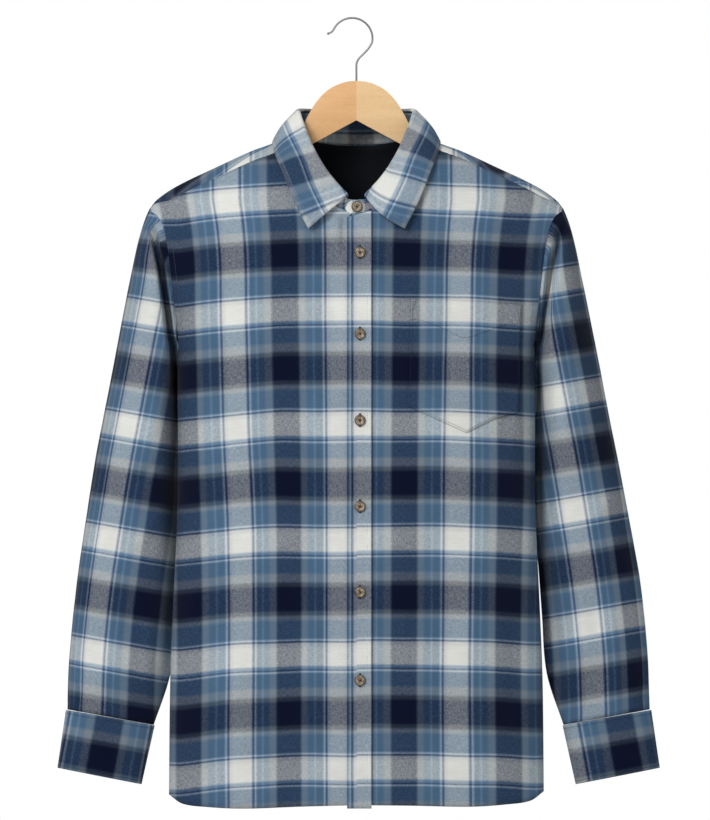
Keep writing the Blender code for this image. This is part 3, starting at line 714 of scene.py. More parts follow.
def body_rows(x, z):
    """Rows of the plaid sink towards the sides, more on the wearer's right."""
    out = min(max((abs(x) - 0.08) / 0.12, 0.0), 1.0)
    droop = (0.0107 if x < 0 else 0.0052) * out ** 1.5
    wave = 0.0018 * noise.noise(Vector((x * 16, z * 4, 20)))
    sink = 0.0030 * ease((z + 0.30) / 0.07) * ease(abs(x) / 0.10)
    if x < 0:
        sink += 0.0014 * ease((-0.44 - z) / 0.08)
    return z - ROW_HEIGHT + droop + wave + sink


def body_columns(x, z):
    """Columns fan out upwards from the middle, and lean in a little low on each side."""
    if x > 0:
        extra = -0.0045 * ease((x - 0.09) / 0.06) * ease((-0.34 - z) / 0.2)
    else:
        extra = 0.0040 * exp(-((x + 0.125) / 0.05) ** 2) * ease((-0.45 - z) / 0.15)
        extra += 0.0020 * ease((-x - 0.17) / 0.02)
    wander = 0.0010 * noise.noise(Vector((x * 5, z * 6, 31)))
    return x * (1 + COLUMN_LEAN.at("growth", z)) + (extra if x > 0 else -extra) + wander


def body_plaid(u, v, p, start, turn=1):
    return turn * body_columns(p.x, p.z) + start, body_rows(p.x, p.z)


def placket_plaid(u, v, p):
    return p.x + PLACKET_START, body_rows(p.x, p.z)


def yoke_plaid(u, v, p):
    """Rows lie level on the back, then pass over the shoulder's ridge and turn askew in front."""
    lie = p.z if p.y > 0 else 2 * ridge(p.x) - p.z
    over = ease((0.026 - p.y) / 0.040)
    turn = -0.036 * ease((abs(p.x) - 0.02) / 0.06)
    if p.x > 0:
        # on the left the rows follow the ridge from here out, and dip in the strip's middle
        turn += ridge(0.10) - ridge(max(p.x, 0.10)) - 0.045 * exp(-((p.x - 0.156) / 0.024) ** 2)
    return p.x + YOKE_START, lie - 0.9 * p.y + YOKE_ROW + turn * over


def leaf_plaid(u, v, p):
    """The warp crosses the leaf, with a white band near each point, and rows run along it."""
    whole = 2 * LEAF_LENGTH
    on_right = (whole * (1 - u) - WHITE_FROM_RIGHT_POINT) * RIGHT_LEAF_RATE + WHITE_MIDDLE
    on_left = WHITE_FROM_LEFT_POINT - whole * u + WHITE_MIDDLE
    on_left += round(whole * 0.93 / WARP_REPEAT) * WARP_REPEAT
    out = halves(u)[1]
    from_edge = (Vector((abs(p.x), p.y, p.z)) - COLLAR.point("edge", out)).length
    square = 0.24 * (from_edge - 0.03) * ease((out - 0.45) / 0.4)
    return mix(on_left - square, on_right + square, ease((u - 0.35) / 0.30)), from_edge - LEAF_EDGE_ROW


def stand_plaid(u, v, p):
    """The stand is cut curved, so its rows run out towards the tabs."""
    side, out = halves(u)
    tabs = (STAND_LENGTH + 0.053) % WARP_REPEAT if side > 0 else -(STAND_LENGTH % WARP_REPEAT)
    run_out = (0.020 if side > 0 else 0.052) * ease((out - 0.72) / 0.2)
    columns = tabs * ease((out - 0.24) / 0.26) - side * STAND_LENGTH * out
    return columns, (v - 1) * STAND_DEEP - STAND_ROW - run_out


def sleeve_plaid(u, v, p, side):
    around = from_left(u, side)
    x = sleeve_point(around, (1 - v) ** SLEEVE_ROWS, side, creased=False).x
    inwards = max(0.0, in_from_edge(x, p.z)) / SLEEVE_ROUNDNESS
    round_it = SLEEVE_ROUNDNESS * (acos(1 - inwards) if inwards < 1 else pi / 2 + inwards - 1)
    if sin(around * 2 * pi) > 0:
        round_it = -round_it
    else:
        # the fold takes up cloth on its way in and again on its way out
        depth, deepest = cap_valley(x, p.z, side), valley_depth(p.z, side)
        round_it += depth if x > CAP_VALLEY.at("across", p.z) else 2 * deepest - depth
    rows = p.z * cos(SLEEVE_LEAN) - x * sin(SLEEVE_LEAN)
    return SLEEVE_START[side] - side * round_it, rows + SLEEVE_ROW[side]


def cuff_plaid(u, v, p, side):
    angle = from_left(u, side) * 2 * pi
    middle = (CUFF.at("outer_x", 1 - v) + CUFF.at("inner_x", 1 - v)) / 2 + LEAN_TO_LEFT[side]
    across = (abs(p.x) - middle) * 0.94
    if sin(angle) > 0:
        across = 0.16 - across
    return across * side + CUFF_START[side], (v - 1) * CUFF_DEEP + CUFF_ROW


# -------- finishes


class Socket:
    """An output of a node: sums and products of it add Math nodes."""

    def __init__(self, nodes, source):
        self.nodes, self.source = nodes, source

    def math(self, operation, first, second=0.0):
        return self.nodes.add("Math", first, second, operation=operation)

    def __rsub__(self, other):
        return self.math("SUBTRACT", other, self)

    def wave(self):
        return self.math("SINE", self)

    def held(self):
        """Kept between 0 and 1."""
        return self.math("MINIMUM", self.math("MAXIMUM", self, 0.0), 1.0)


for sign, kind in (("add", "ADD"), ("radd", "ADD"), ("sub", "SUBTRACT"), ("mul", "MULTIPLY"),
                   ("rmul", "MULTIPLY"), ("truediv", "DIVIDE"), ("mod", "FLOORED_MODULO")):
    setattr(Socket, f"__{sign}__", lambda self, other, kind=kind: self.math(kind, self, other))


class Nodes:
    """The nodes of one tree. Values and links are given in the order of a node's sockets."""

    def __init__(self, tree):
        self.tree = tree

    def add(self, kind, *values, output=0, named=None, **settings):
        made = self.tree.nodes.new("ShaderNode" + kind)
        for name, value in settings.items():
            setattr(made, name, value)
        for name, value in (*enumerate(values), *(named or {}).items()):
            if isinstance(value, Socket):
                self.tree.links.new(value.source, made.inputs[name])
            elif value is not None:
                made.inputs[name].default_value = value
        return Socket(self, made.outputs[output])

    def parts(self, vector):
        """The first two parts of a vector."""
        return [self.add("SeparateXYZ", vector, output=part) for part in (0, 1)]

    def place(self):
        """Where a point lies in its piece."""
        return self.add("TexCoord", output=3)

    def scaled(self, vector, scale, turn=None):
        return self.add("Mapping", vector, None, turn, scale)

    def noise(self, vector, scale, detail=2.0, roughness=0.5):
        return self.add("TexNoise", named={"Vector": vector, "Scale": scale, "Detail": detail,
                                           "Roughness": roughness})

    def blend(self, share, first, second, blend_type="MIX"):
        """Mixes two colours, each a socket or three numbers."""
        first, second = (c if isinstance(c, Socket) else (*c, 1.0) for c in (first, second))
        return self.add("Mix", named={0: share, 6: first, 7: second}, output=2, data_type="RGBA",
                        blend_type=blend_type)

    def ramp(self, share, stops):
        made = self.add("ValToRGB", share)
        elements = made.source.node.color_ramp.elements
        for place, _ in stops[2:]:
            elements.new(place)
        for element, (place, colour) in zip(elements, stops):
            element.position, element.color = place, (*colour, 1.0)
        return made

    def bumps(self, height, strength, distance):
        return self.add("Bump", named={"Height": height, "Strength": strength, "Distance": distance})


class Finish(Nodes):
    """A new material, with the values that are the same all over it set on its shader."""

    def __init__(self, name, preview, **constants):
        self.material = bpy.data.materials.new(name)
        self.material.use_nodes = True
        self.material.diffuse_color = (*preview, 1.0)
        super().__init__(self.material.node_tree)
        self.shader = self.tree.nodes["Principled BSDF"]
        for name, value in constants.items():
            self.shader.inputs[name.replace("_", " ")].default_value = value

    def wear(self, **links):
        """Links what changes over the surface to the shader, and gives the material."""
        for name, socket in links.items():
            self.tree.links.new(socket.source, self.shader.inputs[name.replace("_", " ")])
        return self.material


def shade(colour, share):
    return tuple(share * part for part in colour)


# Yarns, in display values: the mixing of warp and weft is by eye, so it is done on these.
YARN = {
    "white": (0.812, 0.815, 0.795),
    "cream": (0.735, 0.745, 0.740),
    "navy": (0.036, 0.068, 0.150),
    "blue": (0.270, 0.365, 0.462),
    "sky": (0.400, 0.500, 0.600),
    "pale": (0.665, 0.722, 0.780),
    "grey": (0.420, 0.460, 0.500),
    "charcoal": (0.215, 0.240, 0.275),
    "ink": (0.200, 0.258, 0.362),
    "mist": (0.615, 0.680, 0.740),
    "slate": (0.225, 0.285, 0.385),
}
# Bands of one repeat, in ends of yarn, from the middle of a navy band.
WARP_SETT = (
    ("navy", 12.6), ("grey", 6.6), ("blue", 7.0), ("sky", 1.0), ("blue", 8.2), ("pale", 1.5),
    ("ink", 2.0), ("cream", 3.0), ("white", 19.4), ("ink", 2.1), ("pale", 1.5), ("blue", 6.4),
    ("sky", 1.0), ("blue", 6.4), ("grey", 7.6), ("navy", 12.9),
)
WEFT_SETT = (
    ("navy", 11.8), ("charcoal", 4.0), ("grey", 4.6), ("blue", 18.8), ("mist", 1.3), ("slate", 1.3),
    ("cream", 4.3), ("white", 19.2), ("sky", 3.0), ("slate", 1.4), ("mist", 1.3), ("blue", 15.0),
    ("grey", 8.6), ("charcoal", 4.2), ("navy", 11.8),
)
BAND_SOFTNESS = 1.4
WEFT_SHOWS = 0.565        # share of the cloth's face that is weft
# The yoke's lining is a sheet of cloth, and its near-black colours are painted shade: they stand in for the
# dark inside of the back neck.
LINING_PAINTED_SHADE = (0.0016, 0.0026, 0.0045)
THREAD_NAVY = (0.012, 0.020, 0.045)
THREAD_PALE = (0.30, 0.36, 0.42)
THREAD_BLUE = (0.090, 0.130, 0.190)
LINING_PAINTED_SHADE_PALER = (0.005, 0.007, 0.011)
LINING_PITCH = 0.0009
TWILL_PITCH = 0.00078
DISPLAY_GAMMA = 2.2
RIM_STOPS = ((0.35, (0.022, 0.016, 0.009)), (0.65, (0.110, 0.085, 0.050)))
HORN_STOPS = (
    (0.38, (0.045, 0.030, 0.017)), (0.48, (0.160, 0.115, 0.064)),
    (0.55, (0.290, 0.232, 0.150)), (0.66, (0.500, 0.435, 0.320)),
)


def band_stops(sett):
    """Ramp stops of a sett, whose bands run a little into each other."""
    total = sum(width for _, width in sett)
    stops, at = [], 0.0
    for yarn, width in sett:
        soft = min(BAND_SOFTNESS, width * 0.3)
        stops += [((at + soft) / total, YARN[yarn]), ((at + width - soft) / total, YARN[yarn])]
        at += width
    return stops


def make_flannel():
    """Twill flannel: each place shows about half warp and half weft, and a brushed nap."""
    f = Finish("plaid_flannel", (0.16, 0.24, 0.36), Roughness=0.93, Specular_IOR_Level=0.08,
               Sheen_Weight=0.04, Sheen_Roughness=0.55)
    lay = f.add("UVMap", uv_map="cloth")
    u, v = f.parts(lay)
    wander = (f.noise(lay, 1300.0) - 0.5) * 0.0014
    twill = ((u + v * 0.9) * (2 * pi / TWILL_PITCH)).wave()
    warp_yarn = f.noise(f.add("CombineXYZ", u * 1000.0, v * 240.0, 0.0), 1.0, 1.5)
    weft_yarn = f.noise(f.add("CombineXYZ", u * 240.0, v * 1000.0, 7.0), 1.0, 1.5)
    share = (WEFT_SHOWS + (warp_yarn - weft_yarn) * 0.37 + twill * 0.05).held()
    warp = f.ramp(((u + wander) / WARP_REPEAT) % 1.0, band_stops(WARP_SETT))
    weft = f.ramp((0.0 - (v - wander) / WEFT_REPEAT) % 1.0, band_stops(WEFT_SETT))
    nap = f.noise(lay, 1400.0)
    slubs = f.noise(f.add("CombineXYZ", u * 70.0, v * 620.0, 3.0), 1.0)
    faded = (f.noise(lay, 22.0, 3.0) - 0.5) * 0.12 + (nap - 0.5) * 0.13 + (slubs - 0.5) * 0.09 + 1.0
    tone = f.add("CombineXYZ", faded, faded, faded)
    woven = f.blend(1.0, f.blend(share, warp, weft), tone, "MULTIPLY")
    return f.wear(Base_Color=f.add("Gamma", woven, DISPLAY_GAMMA),
                  Normal=f.bumps(twill * 0.25 + nap + (warp_yarn + weft_yarn) * 0.8, 0.35, 0.0005))


# A plain weave whose near-black colour is painted shade, standing in for the dark inside of the back neck.
def make_painted_shade_lining():
    f = Finish("dark_lining", LINING_PAINTED_SHADE, Roughness=0.85, Specular_IOR_Level=0.2)
    u, v = f.parts(f.add("UVMap", uv_map="cloth"))
    weave = (u * (2 * pi / LINING_PITCH)).wave() * (v * (2 * pi / LINING_PITCH)).wave()
    return f.wear(Base_Color=f.blend((0.4 + weave * 0.3).held(), LINING_PAINTED_SHADE, LINING_PAINTED_SHADE_PALER),
                  Normal=f.bumps(weave, 0.3, 0.0003))


def make_thread(name, colour):
    f = Finish(name, colour, Roughness=0.7, Specular_IOR_Level=0.3)
    fibre = f.noise(f.place(), 3000.0)
    return f.wear(Base_Color=f.blend(fibre, shade(colour, 0.55), colour),
                  Normal=f.bumps(fibre, 0.4, 0.0002))


def make_horn_rim():
    f = Finish("dark_horn", (0.06, 0.045, 0.03), Specular_IOR_Level=0.5, Roughness=0.3, Coat_Weight=0.3)
    return f.wear(Base_Color=f.ramp(f.noise(f.place(), 380.0, 3.0), RIM_STOPS))


def make_horn():
    f = Finish("brown_horn", (0.20, 0.14, 0.09), Specular_IOR_Level=0.5, Coat_Roughness=0.15)
    place = f.place()
    cloud = f.noise(place, 420.0, 3.0, 0.6)
    streak = f.noise(f.scaled(place, (260, 900, 1900), (0.0, 0.5, 0.4)), 1.0)
    return f.wear(Base_Color=f.ramp(cloud * 0.62 + streak * 0.38, HORN_STOPS),
                  Roughness=0.24 + streak * 0.16, Coat_Weight=0.3 + cloud * 0.2,
                  Normal=f.bumps(streak, 0.12, 0.0002))


def make_beech(name, light, dark, grain_turn):
    """Clear lacquered beech: long soft grain and short dark flecks."""
    f = Finish(name, light, Specular_IOR_Level=0.45, Coat_Roughness=0.22)
    place, turn = f.place(), (0.0, grain_turn, 0.0)
    turned = f.scaled(place, (9.0, 60.0, 95.0), turn)
    grain = f.noise(turned, 1.0, 4.0, 0.55)
    fine = f.noise(f.scaled(turned, (4.0, 9.0, 9.0)), 1.0)
    fleck = ((f.noise(f.scaled(place, (260.0, 1500.0, 1500.0), turn), 1.0, 1.0) - 0.62) * 9.0).held()
    share = ((grain - 0.5) * 1.5 + (fine - 0.5) * 0.5 + 0.45).held()
    wood = f.blend(fleck * 0.30, f.blend(share, light, dark), shade(dark, 0.62))
    return f.wear(Base_Color=wood, Roughness=0.34 + fine * 0.16, Coat_Weight=0.16 + grain * 0.12,
                  Normal=f.bumps(fine * 0.6 - fleck * 0.6, 0.15, 0.0003))


def make_steel():
    f = Finish("steel_wire", (0.55, 0.55, 0.55), Metallic=1.0)
    drawn = f.noise(f.scaled(f.place(), (900.0, 900.0, 160.0)), 1.0)
    return f.wear(Base_Color=f.blend(drawn, (0.17, 0.17, 0.17), (0.34, 0.34, 0.34)),
                  Roughness=0.42 + drawn * 0.14, Normal=f.bumps(drawn, 0.1, 0.0002))


def make_paint(name, colour):
    f = Finish(name, colour, Roughness=0.9, Specular_IOR_Level=0.1)
    return f.wear(Base_Color=f.blend(f.noise(f.place(), 3.0) * 0.2, colour, shade(colour, 0.93)))


# -------- making pieces
HANGER_NODES = ["hanger_left", "hanger_right"]


def smooth_mesh(name, form):
    """Turns a form into a smoothly shaded mesh, and frees the form."""
    mesh = bpy.data.meshes.new(name)
    form.to_mesh(mesh)
    form.free()
    mesh.shade_smooth()
    return mesh


def points_of(parts):
    return [part for part in parts if isinstance(part, bmesh.types.BMVert)]


def unit_grid(columns, rows):
    """A flat grid, and each point's shares of its width and height."""
    grid = bmesh.new()
    bmesh.ops.create_grid(grid, x_segments=columns, y_segments=rows, size=0.5)
    return grid, {vertex: (vertex.co.x + 0.5, vertex.co.y + 0.5) for vertex in grid.verts}


def add_piece(name, mesh, material, stands_for=()):
    """A new piece of the shirt, moved from the garment's centre to its place under the hook."""
    mesh.transform(Matrix.Translation((GARMENT_X, 0, 0)))
    mesh.materials.append(material)
    piece = bpy.data.objects.new(name, mesh)
    bpy.context.scene.collection.objects.link(piece)
    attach(piece, "root")
    if stands_for:
        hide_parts(*stands_for)
    return piece


def cloth(name, shape, plaid, size, wall, flat, area=None, slot="plaid", closed=False,
          rests_on=HANGER_NODES):
    """A grid reshaped by a function of its two shares, with a wall grown inwards."""
    grid, shares = unit_grid(*size)
    for vertex in grid.verts:
        vertex.co = shape(*shares[vertex])
    lay = grid.loops.layers.uv.new("cloth")
    for face in grid.faces:
        middle = sum(shares[vertex][0] for vertex in face.verts) / len(face.verts)
        for loop in face.loops:
            u, v = shares[loop.vert]
            loop[lay].uv = plaid(mix(u, middle, 0.02), v, loop.vert.co)
    if closed:
        bmesh.ops.remove_doubles(grid, verts=grid.verts, dist=0.00001)
    piece = add_piece(name + "_cloth", smooth_mesh(name, grid), FABRICS[slot], [name])
    thickness = piece.modifiers.new("wall", "SOLIDIFY")
    thickness.thickness = wall
    thickness.offset = -1
    return piece


STITCH_SIZE = (0.0025, 0.00050, 0.00042)
STITCH_PITCH = 0.0030
BUTTONHOLE_LENGTH = 0.0150


def stitches(name, runs, material):
    """Rows of small stitches: each run is a list of places and the direction that faces out."""
    thread = bmesh.new()
    stretch = Matrix.Diagonal(Vector(STITCH_SIZE) / 2).to_4x4()
    for places, facing in runs:
        walked = 0.0
        for start, end in zip(places, places[1:]):
            step = end - start
            while walked <= step.length:
                along = step.normalized()
                across = facing(start).cross(along).normalized()
                up = along.cross(across)
                turn = Matrix((along, across, up)).transposed().to_4x4()
                here = Matrix.Translation(start + along * walked)
                bmesh.ops.create_icosphere(thread, subdivisions=1, radius=1, matrix=here @ turn @ stretch)
                walked += STITCH_PITCH
            walked -= step.length
    return add_piece(name, smooth_mesh(name, thread), material)


def spread(start, end, count, power_of=1):
    """Places from start to end, with both."""
    return [mix(start, end, (i / count) ** power_of) for i in range(count + 1)]


def off_body(place, back=False):
    """The direction that faces out of the body's front or back."""
    deep = 0.20 - abs(place.x) * 0.5
    return Vector((0.9 * place.x, deep if back else -deep, 0)).normalized()


def steps_between(points, steps):
    """Places along a line through points, without its last one."""
    for (x, z), (to_x, to_z) in zip(points, points[1:]):
        for step in range(steps):
            yield mix(x, to_x, step / steps), mix(z, to_z, step / steps)


def front_line(points, out=HAIR, back=False, steps=12):
    """A line on the body's face through points given by x and z."""
    places = [Vector((x, body_y(x, z, back=back, out=out), z)) for x, z in steps_between(points, steps)]
    return places, partial(off_body, back=back)


def shape_line(shape, points, facing, steps):
    """A line on a panel through points given by the panel's own shares."""
    places = [shape(u, v) for u, v in steps_between(points, steps)]
    return [place + facing(place) * 2 * HAIR for place in places], facing


def buttonhole(name, x, z, out):
    """A slit bound all round in close stitching."""
    half, radius, thick = BUTTONHOLE_LENGTH / 2, 0.0011, 0.00055
    binding, shares = unit_grid(44, 8)
    for vertex in binding.verts:
        turn, round_it = (share * 2 * pi for share in shares[vertex])
        reach = radius + thick * cos(round_it)
        aside = reach * sin(turn)
        along = reach * cos(turn) + (half - radius) * power(cos(turn), 0.15)
        rise = thick * 0.8 * sin(round_it) * (1 + 0.25 * sin(turn * 22))
        vertex.co = (x + aside, body_y(x + aside, z + along, out=out) - rise, z + along)
    bmesh.ops.remove_doubles(binding, verts=binding.verts, dist=0.000005)
    bmesh.ops.recalc_face_normals(binding, faces=binding.faces)
    return add_piece(name, smooth_mesh(name, binding), navy_thread)


# -------- buttons
BUTTON_RADIUS = 0.0063
BUTTON_X = 0.0041
# Height and turn of each front button.
BUTTONS = ((-0.2646, 12), (-0.3568, -24), (-0.4547, 8), (-0.5520, 31), (-0.6490, -12), (-0.7487, 20))
RIM_SHARE = 0.80          # the dark rim starts this far out
HOLE_SPREAD = 0.00150
HOLE_RADIUS = 0.00062
STRAND = 0.0003           # half the width of the thread in a button's holes
# Half a button in section: distance from its middle, height above its back.
BUTTON_SECTION = Table(
    "radius height",
    (0, 1.35), (2, 1.35), (3.2, 1.4), (3.8, 1.7), (4.4, 2.15), (5.1, 2.2), (5.6, 1.9), (6, 1.2),
)


def button(node_name, centre, facing, turn):
    """A four-hole button with a raised rim, sewn on with crossed thread."""
    disc = bmesh.new()
    bmesh.ops.create_grid(disc, x_segments=44, y_segments=44, size=1)
    for vertex in disc.verts:
        x, y = vertex.co.x, vertex.co.y
        # a square grid drawn in to a disc
        x, y = x * sqrt(1 - y * y / 2), y * sqrt(1 - x * x / 2)
        radius = BUTTON_RADIUS * min(1.0, hypot(x, y))
        x, y = x * BUTTON_RADIUS, y * BUTTON_RADIUS
        hole = hypot(abs(x) - HOLE_SPREAD * 0.72, abs(y) - HOLE_SPREAD * 0.72)
        sunk = 0.0011 * ease((HOLE_RADIUS - hole) / 0.0003 + 0.5)
        vertex.co = (x, y, BUTTON_SECTION.at("height", radius) - sunk)
    for share, height in ((1, 0.0003), (0.9, 0.0)):
        rim = [edge for edge in disc.edges if edge.is_boundary]
        for vertex in points_of(bmesh.ops.extrude_edge_only(disc, edges=rim)["geom"]):
            vertex.co = (vertex.co.x * share, vertex.co.y * share, height)
    bmesh.ops.contextual_create(disc, geom=[edge for edge in disc.edges if edge.is_boundary])
    bmesh.ops.recalc_face_normals(disc, faces=disc.faces)
    on_rim = [hypot(*face.calc_center_median().xy) > BUTTON_RADIUS * RIM_SHARE for face in disc.faces]
    aimed = facing.to_track_quat("Z", "Y").to_matrix().to_4x4()
    placed = Matrix.Translation(centre + facing * SEAM) @ aimed @ Matrix.Rotation(radians(turn), 4, "Z")
    disc.transform(placed)
    mesh = smooth_mesh(node_name, disc)
    add_piece(node_name + "_horn", mesh, horn, [node_name])
    mesh.materials.append(horn_rim)
    for face, dark in zip(mesh.polygons, on_rim):
        face.material_index = int(dark)
    thread = bmesh.new()
    for quarter in (45, 135):
        for strand in (-0.00028, 0.00028):
            bar = Matrix.Rotation(radians(quarter), 4, "Z") @ Matrix.Translation((0, strand, 0.00150))
            bar = bar @ Matrix.Diagonal((HOLE_SPREAD * 1.12, STRAND, STRAND, 1))
            bmesh.ops.create_uvsphere(thread, u_segments=8, v_segments=6, radius=1, matrix=placed @ bar)
    add_piece(node_name + "_thread", smooth_mesh(node_name + "_thread", thread), navy_thread)


# -------- hanger


def hanger_top(x):
    return HANGER_TOP.at("top", x) if x < HANGER_TOP.keys[-1] else ridge(x) - HANGER_CLEAR


def hanger_bottom(x):
    return NOTCH_HEIGHT - ARM_SLOPE * x + 0.030 * ease((x - 0.09) / 0.12)


def hanger_half(name, side, material):
    """Half of the hanger: its outline is extruded, and the long edges are well rounded."""
    upper = [(x, hanger_top(x)) for x in spread(0.0, HANGER_END, 60, 1.15)]
    lower = [(x, hanger_bottom(x)) for x in spread(0.0, HANGER_END, 30)]
    top, bottom = upper[-1][1], lower[-1][1]
    nose = [(HANGER_END + (top - bottom) * 0.32 * sin(turn), mix(top, bottom, (1 - cos(turn)) / 2))
            for turn in spread(0.0, pi, 14)[1:-1]]
    plank = bmesh.new()
    outline = [plank.verts.new((side * x, -HANGER_THICK / 2, z)) for x, z in upper + nose + lower[::-1]]
    face = plank.faces.new(outline)
    far_side = bmesh.ops.extrude_face_region(plank, geom=[face])["geom"]
    bmesh.ops.translate(plank, vec=(0, HANGER_THICK, 0), verts=points_of(far_side))
    plank.normal_update()
    long_edges = [
        edge for edge in plank.edges
        if abs(edge.verts[0].co.y - edge.verts[1].co.y) < 1e-6
        and max(abs(vertex.co.x) for vertex in edge.verts) > 0.001
    ]
    bmesh.ops.bevel(plank, geom=long_edges, offset=HANGER_ROUND, segments=5, profile=0.5, affect="EDGES",
                    material=-1, clamp_overlap=True)
    bmesh.ops.recalc_face_normals(plank, faces=plank.faces)
    mesh = smooth_mesh(name, plank)
    mesh.set_sharp_from_angle(angle=radians(32))
    return add_piece(name + "_beech", mesh, material, [name])


def hanger_hook():
    """The stem, the bend and the bent-out end, in one wire."""
    bend_x, bend_radius, wire = -0.0050, 0.0232, 0.0011
    bend = [(bend_x + bend_radius * cos(turn), wire - bend_radius + bend_radius * sin(turn))
            for turn in spread(radians(-10), radians(155), 18)]
    path = [(0.0, -0.0740), (0.0, -0.0620), (0.0, -0.0545), (0.0003, -0.0500), (0.0022, -0.0458),
            (0.0073, -0.0403), (0.0124, -0.0350), (0.0158, -0.0302), *bend,
            (-0.0280, -0.0146), (-0.0306, -0.0160), (-0.0326, -0.0166)]
    curve = bpy.data.curves.new("hook_path", "CURVE")
    curve.dimensions = "3D"
    curve.bevel_depth, curve.bevel_resolution, curve.resolution_u = wire, 5, 6
    curve.use_fill_caps = True
    spline = curve.splines.new("BEZIER")
    spline.bezier_points.add(len(path) - 1)
    for point, (x, z) in zip(spline.bezier_points, path):
        point.co = (x, 0, z)
        point.handle_left_type = point.handle_right_type = "AUTO"
    line = bpy.data.objects.new("hook_path", curve)
    bent = bmesh.new()
    bent.from_mesh(bpy.data.meshes.new_from_object(line))
    bmesh.ops.create_uvsphere(bent, u_segments=20, v_segments=12, radius=wire * 1.25,
                              matrix=Matrix.Translation((path[-1][0] + 0.0006, 0, path[-1][1])))
    bpy.data.objects.remove(line)
    return add_piece("hook_wire", smooth_mesh("hanger_hook", bent), steel, ["hanger_hook"])


# -------- the shirt
FABRICS = {"plaid": make_flannel(), "lining": make_painted_shade_lining()}
horn, horn_rim, steel = make_horn(), make_horn_rim(), make_steel()
navy_thread = make_thread("navy_thread", THREAD_NAVY)


def length_of(places):
    return sum((b - a).length for a, b in zip(places, places[1:]))


# Half the length of the collar's two pieces, along the leaf's middle and the stand's seam.
LEAF_LENGTH = length_of([
    sum((leaf_half(along, down) for down in spread(0.3, 0.9, 6)), Vector()) / 7 for along in spread(0, 1, 60)
])
STAND_LENGTH = length_of([neck_point(along) for along in spread(0, 1, 60)]) + TAB_END

right_front = partial(front_panel, side=-1, inner=-UNDER_FRONT_EDGE)
left_front = partial(front_panel, side=1, inner=PLACKET_SEAM + SEAM)
on_right = partial(body_plaid, start=RIGHT_FRONT_START)
on_left = partial(body_plaid, start=LEFT_FRONT_START)
on_back = partial(body_plaid, start=BACK_START, turn=-1)
# Name, shape, plaid, grid, wall, flat size, area and slot of the flat pieces.
for panel in (
    ("front_right", right_front, on_right, FRONT_GRID, CLOTH, (0.27, 0.76), 0.180),
    ("front_left", left_front, on_left, FRONT_GRID, CLOTH, (0.24, 0.76), 0.160),
    ("placket", placket, placket_plaid, (24, 150), DOUBLE, (0.0285, 0.675), None),
    ("back", back_panel, on_back, (130, 110), CLOTH, (0.53, 0.66), None),
    ("yoke", yoke, yoke_plaid, (150, 44), CLOTH, (0.50, 0.16), 0.060),
    # the lining sheet wears a near-black finish that is painted shade
    ("yoke_lining", yoke_lining, lambda u, v, p: (p.x, p.z), (40, 14), CLOTH, (0.37, 0.10), None, "lining"),
    ("collar_leaf", collar_leaf, leaf_plaid, (150, 36), DOUBLE, (0.50, 0.070), 0.028),
    ("collar_stand", collar_stand, stand_plaid, (150, 14), DOUBLE, (0.50, 0.034), 0.014),
):
    cloth(*panel)
cloth("pocket", pocket, on_left, (60, 60), CLOTH, (0.128, 0.150), 0.0165, rests_on=["front_left_cloth"])
for side, name in ((-1, "right"), (1, "left")):
    for piece, shape, plaid, *sizes in (
        ("sleeve_", sleeve, sleeve_plaid, (200, 130), CLOTH, (0.38, 0.60), 0.165),
        ("cuff_", cuff, cuff_plaid, (120, 24), DOUBLE, (0.215, 0.066)),
    ):
        cloth(piece + name, partial(shape, side=side), partial(plaid, side=side), *sizes, closed=True)


# -------- sewing
BODY_EDGE = 0.208         # the hem's stitches run out to here
RIGHT_HEM, LEFT_HEM = (-BODY_EDGE, PLACKET_EDGE - 0.001, 20), (PLACKET_SEAM + 0.002, BODY_EDGE, 20)
SEAM_STITCH = 0.0020      # from the yoke's seams to their stitches
ARMHOLE_STITCH = 0.0060
FACE = SEAM + DOUBLE + FACE_LIFT


def hem_run(start, end, count, back=False):
    return front_line([(x, hem_height(x) + HEM_TURN) for x in spread(start, end, count)], back=back, steps=8)


def armhole_run(side, back):
    places = [(side * (armhole(z) - ARMHOLE_STITCH), z) for z in spread(-0.232, -0.362, 16)]
    return front_line(places, back=back)


def yoke_run(side):
    across = spread(YOKE_CORNER + 0.004, 0.228, 16)
    return front_line([(side * x, yoke_seam(x, side) - SEAM_STITCH) for x in across])


body_runs = [hem_run(*RIGHT_HEM), hem_run(*LEFT_HEM), hem_run(-BODY_EDGE, BODY_EDGE, 30, back=True)]
for x in (PLACKET_EDGE + 0.0048, PLACKET_SEAM - 0.0048):
    heights = spread(PLACKET_FOOT + 0.001, PLACKET_TOP - 0.001, 20)
    body_runs.append(front_line([(x, z) for z in heights], FACE))
body_runs += [armhole_run(side, back) for side in (-1, 1) for back in (False, True)]
body_runs += [yoke_run(-1), yoke_run(1)]
body_runs.append(front_line([(x, back_seam(x) - SEAM_STITCH) for x in spread(-0.205, 0.205, 24)], back=True))
stitches("body_stitches", body_runs, make_thread("blue_thread", THREAD_BLUE))

pocket_runs = (
    ([(0.016, 0.985), (0.016, 0.30), (0.016, 0.02), (0.135, 0.016), (0.52, 0.016), (0.79, 0.016),
      (0.984, 0.02), (0.984, 0.30), (0.984, 0.985)], 24),
    ([(0.02, 0.80), (0.10, 0.802), (0.30, 0.760), (0.45, 0.715), (0.57, 0.730), (0.72, 0.770),
      (0.89, 0.822), (0.98, 0.822)], 8),
    ([(0.045, 0.985), (0.018, 0.86)], 8),
    ([(0.955, 0.985), (0.982, 0.86)], 8),
)
stitches("pocket_stitches", [shape_line(pocket, run, off_body, steps) for run, steps in pocket_runs],
         navy_thread)


def out_of_collar(place):
    return Vector((place.x, place.y + 0.01, 0)).normalized()


